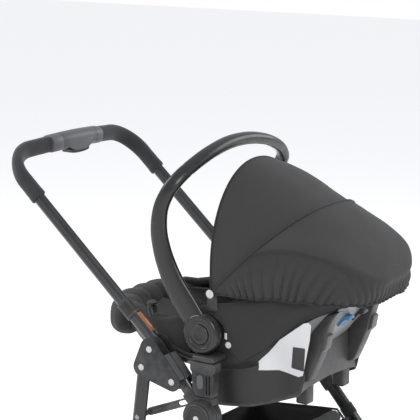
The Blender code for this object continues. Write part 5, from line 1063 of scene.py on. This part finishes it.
def closed_up(bm):
    """Welds the seams of a mesh and closes its open edges."""
    bmesh.ops.remove_doubles(bm, verts=bm.verts, dist=WELD)
    bmesh.ops.holes_fill(bm, edges=[edge for edge in bm.edges if edge.is_boundary], sides=0)


def shell_skin(around, through):
    """The outside from the middle of the floor up, over the rim, and the inside down again."""
    angle = 2 * math.pi * around
    if through < 0.48:
        return down_bowl(FLOOR_TURN * (1 - through / 0.48), angle, 0)
    if through > 0.52:
        return down_bowl(FLOOR_TURN * (through - 0.52) / 0.48, angle, SHELL_WALL)
    over = (through - 0.48) / 0.04
    return bowl(0, angle, SHELL_WALL * over, lift=SHELL_LIP * math.sin(math.pi * over))


shell_plastic = hard_finish("carrier_plastic_dark", (0.022, 0.0215, 0.0205), 0.46, scale=1300, depth=0.00006, highlight=0.5)
rail_plastic = hard_finish("carrier_plastic_rail", (0.050, 0.0495, 0.048), 0.42, scale=1300, depth=0.00006, highlight=0.5)
# Painted highlight: a pale grey copy of the shell plastic for the lit back of the shell
back_highlight_paint = hard_finish("carrier_plastic_grey", (0.30, 0.30, 0.31), 0.38, scale=1300, depth=0.00004, highlight=0.3,
                           change=0.10)
bm = bmesh.new()
mapped_grid(bm, 112, 75, shell_skin)
closed_up(bm)
bmesh.ops.recalc_face_normals(bm, faces=bm.faces)
shell_below = BVHTree.FromBMesh(bm)
for side in (-1, 1):
    low, high = span(side, 0.184, 0.2355)
    block(bm, (low, HUB_Y - 0.027, POST_SEAT[0]), (high, HUB_Y + 0.027, POST_SEAT[1]), 0.005)
    spun(bm, [(0, 0.186), (0.010, 0.186), (0.010, 0.2090), (0.0085, 0.2108), (0, 0.2108)], at(0, CARRIER_HUB), side,
         steps=32)
finished(bm, "carrier_bowl", shell_plastic, "carrier", "carrier_plastic", ["carrier_shell"], sharp=38)

# The lit back of the shell, painted as a pale grey sheet just outside the bowl: a painted highlight
bm = bmesh.new()
mapped_grid(bm, 40, 24,
            lambda across, down: down_bowl(0.30 + 0.86 * down, math.pi * (1.18 + 0.64 * across), -0.0009))
back_highlight_sheet = finished(bm, "carrier_back_face", back_highlight_paint, "carrier", "carrier_plastic", sharp=60, turn_out=False)
thickened(back_highlight_sheet, 0.0008, 1.0 if back_highlight_sheet.data.polygons[0].normal.z > 0 else -1.0)

bm = bmesh.new()
spun(bm, [(0, 0.186), (0.0068, 0.186), (0.0068, 0.1990), (0.0055, 0.2002), (0, 0.2002)], at(0, (-0.040, 0.668)), -1,
     steps=28)
block(bm, (-0.2000, HUB_Y - 0.0375, 0.6795), (-0.186, HUB_Y - 0.0315, 0.6935), 0.0012)
finished(bm, "carrier_cover_pegs", pale, "carrier", "carrier_plastic")

# Carrier base: the two skids under the shell, moulded with it, with curved lower edges, cross walls and two rails up
# the back. Its side plate is a plain pale label with a dark blank field, and a belt guide sits on the slanting back.
SKID_FOOT, SKID_TOP, SKID_RECESS = 0.120, 0.163, 0.003
SKID_LOW = ((-0.178, 0.600), (-0.169, 0.559), (-0.112, 0.537), (-0.064, 0.524), (-0.020, 0.5215), (0.030, 0.518),
            (0.042, 0.527))
WALL_PLACES, WALL_THICK = (-0.168, -0.088, 0.033), 0.0035
RAIL_OUTER, RAIL_INNER = 0.108, 0.080
RAIL = ((-0.250, 0.748), (-0.238, 0.733), (-0.229, 0.718), (-0.221, 0.692), (-0.215, 0.666), (-0.203, 0.636),
        (-0.186, 0.598), (-0.180, 0.590), (-0.160, 0.584), (-0.157, 0.600), (-0.170, 0.660), (-0.190, 0.700),
        (-0.222, 0.738))
RAIL_CATCH = ((-0.2220, 0.668), (-0.2105, 0.656), (-0.2135, 0.700), (-0.2270, 0.694))
COVER_EDGE = ((-0.338, 0.806), (-0.232, 0.755), (-0.17, 0.708), (-0.113, 0.663), (-0.053, 0.626), (0.017, 0.614),
              (0.09, 0.616), (0.14, 0.640), (0.20, 0.655), (0.322, 0.672))
LABEL = ((-0.078, 0.606), (-0.084, 0.628), (-0.134, 0.682), (-0.200, 0.730), (-0.212, 0.734), (-0.217, 0.728),
         (-0.208, 0.694), (-0.184, 0.628), (-0.176, 0.606), (-0.165, 0.601), (-0.121, 0.610), (-0.095, 0.607))
LABEL_FIELD = ((-0.1660, 0.6690, 0.002), (-0.1910, 0.6700, 0.002), (-0.1790, 0.6190, 0.002), (-0.1540, 0.6220, 0.002))
HOOK = ((0.006, -0.002), (0.036, -0.002), (0.042, 0.008), (0.040, 0.0125), (0.033, 0.011), (0.028, 0.005),
        (0.006, 0.004))


def under_shell(x, y):
    """Height of the shell's outside above a place, or of the cover's edge where the shell is not above it."""
    hit = shell_below.ray_cast(at(x, (y, 0.3)), Vector((0, 0, 1)))[0]
    return hit.z + 0.002 if hit else read(COVER_EDGE, y) + 0.012


def skid_x(y, z):
    """The skid's outer face leans out at the top and away from the other skid towards the foot."""
    lean = (SKID_TOP - SKID_FOOT) * min(1, max(0, (z - 0.600) / 0.135))
    return SKID_FOOT + lean + 0.040 * between(-0.140, 0.0, y) * (1 - 0.5 * between(0.60, 0.66, z))


def skid_point(side, along, up, inset):
    y = SKID_LOW[0][0] + (SKID_LOW[-1][0] - SKID_LOW[0][0]) * along
    low = read(SKID_LOW, y, 0.003)
    top = min(under_shell(side * skid_x(y, 0.65), y), read(COVER_EDGE, y) + 0.014)
    z = low + (top - low) * up
    return at(side * (skid_x(y, z) - inset), (y, z))


def skid_skin(side):
    """Up the skid's outer face and down its inner one."""
    def place(along, through):
        recess = SKID_RECESS * between(0.49, 0.51, through) * (1 - between(0.97, 1, through))
        return skid_point(side, along, abs(2 * through - 1), recess)
    return place


def cross_wall(y):
    """A wall between the skids at y, up to the shell, with an arched lower edge."""
    def place(across, around):
        x = (2 * across - 1) * (skid_x(y, 0.56) - 0.001)
        low = read(SKID_LOW, y) + 0.004 + 0.012 * (1 - abs(2 * across - 1)) ** 0.5
        corner = round(around * 4) % 4
        return at(x, (y + (WALL_THICK if corner > 1 else 0), under_shell(x, y) if corner in (1, 2) else low))
    return place


bm = bmesh.new()
for side in (-1, 1):
    mapped_grid(bm, 60, 36, skid_skin(side))
closed_up(bm)
for y in WALL_PLACES:
    mapped_grid(bm, 24, 4, cross_wall(y))
closed_up(bm)
for side in (-1, 1):
    low, high = span(side, 0.062, 0.092)
    block(bm, (low, HUB_Y - 0.168, 0.532), (high, HUB_Y - 0.140, 0.574), 0.004)
finished(bm, "base_skids", shell_plastic, "carrier", "carrier_plastic", ["carrier_base"], sharp=35)
bm = bmesh.new()
for side in (-1, 1):
    plate(bm, RAIL, side * RAIL_INNER, side * RAIL_OUTER, edge=0.0028, segments=3)
    plate(bm, RAIL_CATCH, side * (RAIL_INNER + 0.006), side * (RAIL_OUTER + 0.0015), edge=0.0016)
finished(bm, "base_rails", rail_plastic, "carrier", "carrier_plastic", sharp=35)

label_white = hard_finish("label_film", (0.83, 0.84, 0.85), 0.35, scale=600, depth=0.00001, highlight=0.0, spread=0.04,
                          change=0.03)
label_dark = hard_finish("label_field", (0.035, 0.035, 0.036), 0.40, scale=600, depth=0.00001, highlight=0.0, spread=0.04,
                         change=0.10)


def on_skid(outline, lift, name, material, cuts):
    """A thin plate that follows the outer faces of the near skid and the shell."""
    bm = bmesh.new()
    plate(bm, outline, -0.2, -0.2 + 0.0006)
    sliced(bm, cuts)
    for vert in bm.verts:
        face = shell_below.ray_cast(Vector((-0.3, vert.co.y, vert.co.z)), Vector((1, 0, 0)))[0]
        vert.co.x += 0.2 + min(face.x if face else 0, -skid_x(vert.co.y - HUB_Y, vert.co.z)) - lift
    finished(bm, name, material, "carrier", "carrier_plastic", sharp=50)


on_skid(LABEL, 0.0020, "base_label_plate", label_white, 0.012)
on_skid(belt(LABEL_FIELD, 4), 0.0026, "base_label_field", label_dark, 0.008)
guide_blue = hard_finish("guide_blue", (0.10, 0.33, 0.62), 0.35, scale=1200, depth=0.00003, highlight=0.2, change=0.08)
for label, side, finish in (("right", -1, guide_blue), ("left", 1, shell_plastic)):
    bm = bmesh.new()
    low, high = (Vector((y, under_shell(side * 0.03, y) - 0.004)) for y in (-0.205, -0.250))
    run = (high - low).normalized()
    plate(bm, [(low.x + run.x * along - run.y * height, low.y + run.y * along + run.x * height)
               for along, height in HOOK], side * 0.020, side * 0.040, edge=0.0010)
    finished(bm, f"belt_guide_hook_{label}", finish, "carrier", "guide", [f"belt_guide_{label}"], sharp=35)


# Seat cover: one piece of charcoal cloth hooked over the shell's rim, with an elastic piped lower edge that rises
# round the hubs, and a short flap inside. A stuffed roll runs round the rim at the foot, over a rounded bolster.
COVER_OUT, COVER_CLOTH, COVER_LIFT, COVER_FLAP, PIPING_RADIUS = 0.0056, 0.0026, 0.0040, 0.16, 0.0021
ROLL_WIDTH, ROLL_DEPTH, ROLL_FOLDS, BOLSTER_HALF, BOLSTER_WIDTH, BOLSTER_DEPTH = 0.027, 0.017, 15, 0.166, 0.086, 0.096
RIB_PATH = ((0.172, 0.728), (0.176, 0.712), (0.162, 0.690), (0.142, 0.665), (0.120, 0.647), (0.087, 0.633),
            (0.058, 0.627), (0.034, 0.630))


def cover_low(y):
    """Height of the cover's lower edge, which rises round the hub."""
    edge, rim = read(COVER_EDGE, y, 0.012), read(RIM_HEIGHTS, y, 0.012)
    raised = between(-0.066, -0.014, y) * (1 - between(0.046, 0.068, y))
    return edge + (rim - 0.013 - edge) * raised


def skirt_depth(share):
    """How deep down the bowl the cover reaches at y, at a share of its way from the rim to its edge."""
    def depth(y):
        rim, floor = read(RIM_HEIGHTS, y, 0.02), read(FLOOR_HEIGHTS, y, 0.02)
        return min(0.96, share * (rim - cover_low(y)) / (rim - floor))
    return depth


def cover_skin(around, through):
    """Up the outside from the lower edge, over the rim, and down the flap."""
    angle = 2 * math.pi * around
    if through < 0.62:
        share = 1 - through / 0.62
        drape = 1 + noise.noise(Vector((around * 26, share * 2, 3)))
        slack = 0.0016 * math.sin(math.pi * min(1, share * 1.2)) * drape
        return bowl(skirt_depth(share), angle, -COVER_OUT - slack)
    if through < 0.76:
        over = (through - 0.62) / 0.14
        return bowl(0, angle, -COVER_OUT + (SHELL_WALL + 2 * COVER_OUT) * over,
                    lift=COVER_LIFT + 0.0022 * math.sin(math.pi * over))
    down = (through - 0.76) / 0.24
    return bowl(COVER_FLAP * down, angle, SHELL_WALL + COVER_OUT, lift=COVER_LIFT * (1 - down))


def turned_out(bm, axis):
    """Turns an open sheet's faces outward, judged by the one farthest along the axis; gives the sheet's area."""
    farthest = max(bm.faces, key=lambda face: face.calc_center_median()[axis])
    if farthest.normal[axis] < 0:
        bmesh.ops.reverse_faces(bm, faces=bm.faces)
    return round(sum(face.calc_area() for face in bm.faces), 4)


bm = bmesh.new()
mapped_grid(bm, 160, 34, cover_skin)
bmesh.ops.remove_doubles(bm, verts=bm.verts, dist=WELD)
bmesh.ops.recalc_face_normals(bm, faces=bm.faces)
cover_area = turned_out(bm, 0)
seat_cover_cloth = finished(bm, "seat_cover_cloth", fabric, "carrier", "fabric", ["seat_cover"], sharp=70,
                            turn_out=False)
thickened(seat_cover_cloth, COVER_CLOTH)
bm = bmesh.new()
cover_edge = [bowl(skirt_depth(1.0), 2 * math.pi * share, -0.0052)
              for share in [step / 150 for step in range(150)] + [0.9999]]
rod(bm, cover_edge, PIPING_RADIUS * 2, sides=10)
finished(bm, "seat_cover_piping", binding, "carrier", "fabric", sharp=60)

bm = bmesh.new()
roll = []
for step in range(97):
    share = step / 96
    end = math.sqrt(max(0, 1 - abs(2 * share - 1) ** 8))
    end *= (1 - 0.13 * math.exp(-((share * ROLL_FOLDS) % 1 - 0.5) ** 2 / 0.006)
            + 0.05 * noise.noise(Vector((share * 30, 1, 5))))
    middle = bowl(0, math.pi * (0.10 + 0.80 * share), 0.0085, lift=0.0035 + 0.002 * math.sin(share * 47))
    roll.append((middle, ROLL_WIDTH * end + 0.001, ROLL_DEPTH * end + 0.001))
sweep(bm, roll, sides=24, power=2.3)
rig.padded(finished(bm, "seat_rim_roll", fabric, "carrier", "padding", sharp=70), fill=0.55)
bm = bmesh.new()
bolster = []
for step in range(61):
    share = step / 30 - 1
    end = max(0.02, 1 - abs(share) ** 3.2) ** 0.5
    end *= 1 - 0.06 * math.exp(-((step % 10) - 5) ** 2 / 1.5) + 0.03 * noise.noise(Vector((share * 5, 2, 7)))
    middle = at(BOLSTER_HALF * share, (0.318 - 0.070 * share ** 2, 0.660 + 0.010 * share ** 2))
    bolster.append((middle, BOLSTER_WIDTH * end, BOLSTER_DEPTH * end))
sweep(bm, bolster, sides=40, power=2.3, level=(0, 1, 0))
for vert in bm.verts:
    vert.co += Vector((0, 1, 0.4)) * ripple(vert.co, 0.035, 0.005)
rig.padded(finished(bm, "seat_foot_bolster", fabric, "carrier", "padding", sharp=80), fill=0.7)
for label, side in SIDES:
    rib = []
    for index in range(29):
        low = min(index // 4, len(RIB_PATH) - 2)
        y, z = Vector(RIB_PATH[low]).lerp(Vector(RIB_PATH[low + 1]), index / 4 - low)
        rib.append(at(side * (0.188 - 0.02 * between(0.12, 0.19, y)), (y, z)))
    smoothed = [sum((rib[min(max(index + step, 0), 28)] for step in range(-2, 3)), Vector()) / 5 for index in range(29)]
    bm = bmesh.new()
    rod(bm, smoothed, 0.021, 0.016, sides=28, power=2.6)
    finished(bm, f"shell_side_rib_{label}", shell_plastic, "carrier", "carrier_plastic", sharp=60)
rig.sheet(seat_cover_cloth, flat=(1.02, round(cover_area, 3)), held="stretched", rests_on=["carrier_bowl"],
         area=cover_area, with_pieces=["seat_cover_piping"])

# Seat pad: a padded liner that lies in the bowl, sewn through in channels so that it swells between its seams.
SEAM_X, CENTRE_SEAMS, WING_SEAMS = 0.078, (-0.185, -0.075, 0.080, 0.185), (-0.215, -0.125, -0.020, 0.085, 0.180)
PAD_LOW, PAD_HIGH = SHELL_WALL + 0.0036, SHELL_WALL + 0.0165


def swell(point):
    """How far the pad's face stands up between its sewn channels."""
    x, y = abs(point.x), point.y - HUB_Y
    seams = CENTRE_SEAMS if x < SEAM_X else WING_SEAMS
    near = min(abs(x - SEAM_X), min(abs(y - seam) for seam in seams))
    full = 0.0045 if x < SEAM_X else 0.0085
    return full * math.sqrt(1 - (1 - min(1, near / 0.022)) ** 2) + ripple(point, 0.03, 0.0012)


def pad_skin(around, through):
    """The underside from its middle up, over the piped rim, and the sewn face down to its middle."""
    angle = 2 * math.pi * around
    if through < 0.36:
        return down_bowl(FLOOR_TURN * (1 - through / 0.36), angle, PAD_LOW, first=0.20)
    if through > 0.42:
        turn = FLOOR_TURN * (through - 0.42) / 0.58
        flat = down_bowl(turn, angle, PAD_HIGH, first=0.20)
        return down_bowl(turn, angle, PAD_HIGH + swell(flat) * min(1, turn / 0.06), first=0.20)
    over = (through - 0.36) / 0.06
    return down_bowl(0, angle, PAD_LOW + (PAD_HIGH - PAD_LOW) * over, first=0.20 - 0.03 * math.sin(math.pi * over))


padding_cloth = cloth_finish("seat_pad_jersey", (0.050, 0.0495, 0.048), pitch=5200.0, sheen=0.2)
bm = bmesh.new()
mapped_grid(bm, 144, 110, pad_skin)
closed_up(bm)
bmesh.ops.recalc_face_normals(bm, faces=bm.faces)
pad_face = BVHTree.FromBMesh(bm)
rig.padded(finished(bm, "seat_pad_quilted", padding_cloth, "carrier", "padding", ["seat_pad"], sharp=70), fill=0.6)

# Harness: black webbing straps over the pad. The shoulder straps come out of bound slots in the back, and they meet
# the lap and crotch straps under the buckle.
SHOULDER_X, SHOULDER_Y, STRAP_WIDTH, STRAP_THICK, BUCKLE_Y = 0.040, -0.168, 0.030, 0.0017, 0.035
LAP_HALF, LAP_Y, CROTCH_Y = 0.088, BUCKLE_Y - 0.043, 0.110


def on_pad(x, y, lift):
    """A place on the pad's face."""
    return pad_face.ray_cast(at(x, (y, 2)), Vector((0, 0, -1)))[0] + Vector((0, 0, lift))


def strap(bm, path, level):
    rod(bm, path, STRAP_WIDTH, STRAP_THICK, sides=24, power=9.0, level=level)


bm = bmesh.new()
for side in (-1, 1):
    path = [on_pad(side * SHOULDER_X, SHOULDER_Y + (LAP_Y - SHOULDER_Y) * step / 12, 0.0026) for step in range(13)]
    strap(bm, [path[0] + Vector((0, -0.012, -0.006)), path[0] + Vector((0, -0.006, -0.0005))] + path, LEVEL)
strap(bm, [on_pad(LAP_HALF * (step / 6 - 1), LAP_Y, 0.0044) for step in range(13)], (0, 1, 0))
strap(bm, [on_pad(0, LAP_Y - 0.004 + (CROTCH_Y - LAP_Y + 0.004) * step / 8, 0.0058) for step in range(9)]
      + [on_pad(0, CROTCH_Y + 0.006, -0.003)], LEVEL)
finished(bm, "harness_straps", webbing, "carrier", "webbing", ["harness"], sharp=40)
bm = bmesh.new()
for x, y, wide, deep in ((-SHOULDER_X, SHOULDER_Y - 0.008, 0.021, 0.0065), (0, CROTCH_Y + 0.008, 0.019, 0.0055),
                         (SHOULDER_X, SHOULDER_Y - 0.008, 0.021, 0.0065)):
    middle = on_pad(x, y, 0.0)
    block(bm, middle + Vector((-wide, -deep, -0.002)), middle + Vector((wide, deep, 0.0015)), 0.0012)
finished(bm, "harness_slots", binding, "carrier", "webbing", sharp=40)
release_red = hard_finish("release_red", (0.55, 0.022, 0.018), 0.32, scale=1000, depth=0.00003, highlight=0.2, change=0.08)
refinish("harness_buckle", moulded)
refinish("buckle_button", release_red)


# Hood: two panels of charcoal cloth on wire bows that turn on a snap at each side. The rear panel is fixed, domed at
# the top, with a ridge fold and gathers down to its elastic hem. The front panel turns back inside it.
HOOD_PIVOT, HOOD_HALF, HOOD_CLOTH = (-0.005, 0.775), 0.2135, 0.0020
SEAM_LEAN, FRONT_LEAN, TUCK_LEAN = 44.0, -5.0, 49.0
HOOD_REACH = ((-5, 0.259), (8, 0.246), (20, 0.238), (32, 0.235), (44, 0.242), (49, 0.249),
              (56, 0.259), (65, 0.275), (75, 0.301), (80, 0.314), (86, 0.322), (90, 0.318),
              (94, 0.300))
HOOD_POWER = ((-5, 2.05), (44, 2.4), (70, 2.8), (90, 3.0))
HEM_GATHER = 0.0165


def hood_place(lean, turn, inset=0.0):
    """A point on the hood: lean back from upright in degrees, turn 0 to pi from the left side to the right."""
    reach, power = read(HOOD_REACH, lean, 3.0) - inset, read(HOOD_POWER, lean)
    across = math.copysign(abs(math.cos(turn)) ** (2 / power), math.cos(turn))
    out = abs(math.sin(turn)) ** (2 / power)
    back, up = math.sin(math.radians(lean)), math.cos(math.radians(lean))
    return at((HOOD_HALF - inset) * across, (HOOD_PIVOT[0] - reach * out * back, HOOD_PIVOT[1] + reach * out * up))


def even_turns(lean, count):
    """Turns that divide the hood's arch at a lean into equal lengths."""
    turns = [0.003 + (math.pi - 0.006) * (1 - math.cos(math.pi * step / 1200)) / 2 for step in range(1201)]
    lengths = run_lengths([hood_place(lean, turn) for turn in turns])
    found, index = [], 0
    for step in range(count + 1):
        wanted = lengths[-1] * step / count
        while index < 1200 and lengths[index] < wanted:
            index += 1
        found.append(turns[index])
    return found


HOOD_COLUMNS = 360
arch_turns = even_turns(85, HOOD_COLUMNS)


def hem_lean(turn):
    return 87.5 + 4.5 * math.sin(turn) ** 2


def gathers(y, height, x):
    """Pleats that fan up from the elastic hem: along the sides by y, and round the back by x."""
    spread = 1 + 7 * height
    side_phase = math.pi * (y - 0.16 + 0.16 * spread) / spread / HEM_GATHER
    side_wave = abs(math.sin(side_phase + 0.6 * math.sin(side_phase * 0.37)))
    back_wave = abs(math.sin(math.pi * x * (1 - 2 * height) / HEM_GATHER))
    at_back = between(0.25, 0.30, y)
    return (side_wave * (1 - at_back) * between(0.028, 0.075, y) + 0.55 * back_wave * at_back) ** 0.8


def rear_place(across, along):
    turn = arch_turns[round(across * HOOD_COLUMNS)]
    lean = SEAM_LEAN + (hem_lean(turn) - SEAM_LEAN) * along
    point = hood_place(lean, turn)
    out = abs(math.sin(turn)) ** (2 / 2.8)
    ridge = 41 + 41 * min(1, max(0, (out - 0.55) / 0.45)) ** 1.35
    below = between(ridge, hem_lean(turn) + 1, lean)
    y, height = HUB_Y - point.y, max(0.0, point.z - HOOD_PIVOT[1])
    reach_up = 0.6 + 1.3 * abs(noise.noise(Vector((y * 21, point.x * 9, 4))))
    pleat = gathers(y, height, point.x) * below ** reach_up
    bulge = math.exp(-((lean - ridge) / (14 if lean < ridge else 3.8)) ** 2) * between(0.30, 0.65, out)
    bulge *= 1 - between(0.92, 1.0, out) * 0.6
    away = Vector((point.x, (point.y - HUB_Y) * 0.55, 0)).normalized()
    tuck = between(0, 0.5, below) * (1 - 0.4 * below) * between(0.15, 0.45, out)
    push = 0.0165 * bulge - 0.0110 * tuck + 0.0085 * (pleat - 0.5 * below ** reach_up)
    push += ripple(point, 0.055, 0.0018) * between(0.1, 0.4, out)
    return point + away * push + Vector((0, 0, -0.004 * below * between(0.1, 0.4, out) * math.sin(turn * 24) * 0.4))


def front_place(across, along):
    turn = arch_turns[round(across * HOOD_COLUMNS / 2) * 2]
    point = hood_place(FRONT_LEAN + (TUCK_LEAN - FRONT_LEAN) * along, turn, 0.0052 - 0.0016 * math.sin(turn))
    away = Vector((math.copysign(1, point.x) * 0.6, 0, 0.8))
    return point + away * ripple(point, 0.07, 0.0012) * math.sin(math.pi * along)


hood_fabric = cloth_finish("hood_polyester", (0.043, 0.0425, 0.042), pitch=4200.0, sheen=0.10)
hood_sheets = (("hood_rear_cloth", rear_place, HOOD_COLUMNS, 58, "carrier", "hood_rear"),
               ("hood_front_cloth", front_place, HOOD_COLUMNS // 2, 40, "hood", "hood_front"))
hood_areas = []
for name, place, columns, rows, body, stands_for in hood_sheets:
    bm = bmesh.new()
    mapped_grid(bm, columns, rows, place)
    bm.normal_update()
    area = turned_out(bm, 2)
    cloth = finished(bm, name, hood_fabric, body, "fabric", [stands_for], sharp=80, turn_out=False)
    hood_areas.append((thickened(cloth, HOOD_CLOTH), area))


for name, place, along, width, depth, body in (("hood_seam_piping", rear_place, 0.0, 0.0046, 0.0046, "carrier"),
                                               ("hood_elastic_hem", rear_place, 1.0, 0.0052, 0.0052, "carrier"),
                                               ("hood_front_binding", front_place, 0.0, 0.0042, 0.0050, "hood")):
    bm = bmesh.new()
    rod(bm, [place(step / HOOD_COLUMNS, along) for step in range(0, HOOD_COLUMNS + 1, 2)], width, depth, sides=10)
    finished(bm, name, binding, body, "fabric", sharp=60)
for label, side in SIDES:
    bm = bmesh.new()
    plate(bm, belt([(*HOOD_PIVOT, 0.0108), (-0.012, 0.744, 0.007), (0.002, 0.744, 0.007)], 10), side * 0.2028,
          side * 0.2066, edge=0.0010)
    finished(bm, f"hood_ear_{label}", moulded, "carrier", "carrier_plastic", [f"hood_mount_{label}"], sharp=35)
    bm = bmesh.new()
    spun(bm, [(0, 0.2050), (0.0045, 0.2050), (0.0045, 0.2142), (0.0085, 0.2142), (0.0092, 0.2149), (0.0088, 0.2158),
              (0.0070, 0.2167), (0.0038, 0.2173), (0, 0.2175)], at(0, HOOD_PIVOT), side, steps=36)
    finished(bm, f"hood_snap_{label}", pale, "carrier", "carrier_plastic", sharp=40)
for (cloth, area), trims in zip(hood_areas, (["hood_seam_piping", "hood_elastic_hem"], ["hood_front_binding"])):
    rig.sheet(cloth, flat=(0.84, round(area / 0.60, 3)), held="stretched",
             rests_on=["hood_snap_right", "hood_snap_left"],
             area=area, with_pieces=trims)


# Carry handle: a two-part moulded arch with a glossy top face. It widens towards two round hubs, each with a raised
# ring and a push button, and its halves meet in a fine joint line near the shoulder.
CARRY_PATH = ((0.0, 0.065, 1.0635, 0.030, 0.026), (0.0500, 0.0645, 1.061, 0.030, 0.026),
              (0.0990, 0.064, 1.053, 0.030, 0.025), (0.1350, 0.066, 1.043, 0.030, 0.025),
              (0.1710, 0.070, 1.029, 0.030, 0.024), (0.1950, 0.075, 1.016, 0.030, 0.023),
              (0.2150, 0.083, 0.999, 0.031, 0.022), (0.2230, 0.094, 0.980, 0.031, 0.022),
              (0.2240, 0.111, 0.944, 0.034, 0.021), (0.2225, 0.117, 0.900, 0.039, 0.020),
              (0.2195, 0.113, 0.862, 0.043, 0.019), (0.2165, 0.103, 0.826, 0.047, 0.019),
              (0.2145, 0.082, 0.782, 0.052, 0.018), (0.2140, 0.050, 0.738, 0.055, 0.017),
              (0.2140, 0.014, 0.690, 0.052, 0.017))
CARRY_FACE, CARRY_INNER, CARRY_RING, BUTTON_POCKET, CARRY_STEPS = 0.2255, 0.2045, 0.042, 0.0214, 132


def carry_section(share):
    """The handle's centre, width and thickness at a share from -1, the right hub, to 1, the left hub."""
    last = len(CARRY_PATH) - 1
    place = abs(share) * last
    index = min(int(place), last - 1)
    part = place - index
    rows = [CARRY_PATH[min(abs(index + step), last)] for step in (-1, 0, 1, 2)]
    if index == 0:
        rows[0] = (-rows[2][0], *rows[2][1:])
    values = []
    for before, low, high, after in zip(*rows):
        turn_in, turn_out = (high - before) / 2, (after - low) / 2
        values.append(low + turn_in * part + (3 * (high - low) - 2 * turn_in - turn_out) * part ** 2
                      + (2 * (low - high) + turn_in + turn_out) * part ** 3)
    return (math.copysign(values[0], share), *values[1:])


gloss_plastic = hard_finish("carry_handle_gloss", (0.018, 0.0178, 0.0172), 0.27, scale=1800, depth=0.00002, highlight=0.4,
                            spread=0.06)
bm = bmesh.new()
rows = [carry_section(-1 + 2 * step / CARRY_STEPS) for step in range(CARRY_STEPS + 1)]
centres = [at(row[0], row[1:3]) for row in rows]
rings = []
for index, (x, _, _, width, thick) in enumerate(rows):
    ahead = (centres[min(index + 1, CARRY_STEPS)] - centres[max(index - 1, 0)]).normalized()
    side_run = Vector((0, ahead.y, ahead.z)) * (1 if x < 0 else -1)
    side_run = side_run.lerp(Vector((0, -0.2, 1.0)), 1 - between(0.13, 0.20, abs(x)))
    face = Vector((0, side_run.z, -side_run.y)).normalized()
    face = (face - ahead * face.dot(ahead)).normalized()
    out = ahead.cross(face)
    joint = 1 - 0.045 * math.exp(-((abs(x) - 0.183) / 0.0022) ** 2)
    circle = bmesh.ops.create_circle(bm, radius=1, segments=40)["verts"]
    for vert in circle:
        across, up = vert.co.x, vert.co.y
        vert.co = (centres[index] + face * (width / 2 * joint * math.copysign(abs(across) ** 0.80, across))
                   + out * (thick / 2 * joint * math.copysign(abs(up) ** 0.80, up)))
    rings.append([edge for edge in bm.edges if edge.verts[0] in circle and edge.verts[1] in circle])
    if index:
        bmesh.ops.bridge_loops(bm, edges=rings[-2] + rings[-1])
bmesh.ops.holes_fill(bm, edges=rings[0] + rings[-1], sides=0)
ring, pocket, top = CARRY_RING, BUTTON_POCKET, CARRY_FACE
for side in (-1, 1):
    spun(bm, [(0, CARRY_INNER), (ring - 0.001, CARRY_INNER), (ring, CARRY_INNER + 0.001), (ring, top - 0.0042),
              (ring - 0.0008, top - 0.0026), (ring - 0.0022, top - 0.0011), (ring - 0.0040, top - 0.0002),
              (ring - 0.0055, top), (ring - 0.0105, top), (ring - 0.0122, top - 0.0005), (ring - 0.0133, top - 0.0016),
              (0.0225, top - 0.0016), (pocket, top - 0.0022), (pocket, top - 0.0088), (0, top - 0.0088)],
         at(0, CARRIER_HUB), side, steps=64)
finished(bm, "carry_arch", gloss_plastic, "carry_handle", "carrier_plastic", ["carry_handle"], sharp=35)
for label, side in SIDES:
    bm = bmesh.new()
    spun(bm, [(0, -0.0012), (0.0206, -0.0012), (0.0206, -0.0004), (0.0200, 0.0004), (0.0188, 0.0010), (0.0142, 0.0010),
              (0.0130, 0.0004), (0.0112, -0.0003), (0.0040, -0.0006), (0, -0.0006)], at(0, CARRIER_HUB), side,
         CARRY_FACE, steps=48)
    finished(bm, f"hub_button_face_{label}", shell_plastic, f"hub_release_{label}", "carrier_plastic",
             [f"hub_button_{label}"], sharp=35)
    refinish(f"adapter_button_{label}", moulded)

visual_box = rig.bounds()
with open("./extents.json", "w") as out:
    json.dump({"cad": [list(corner) for corner in cad_box], "visual": [list(corner) for corner in visual_box]}, out)
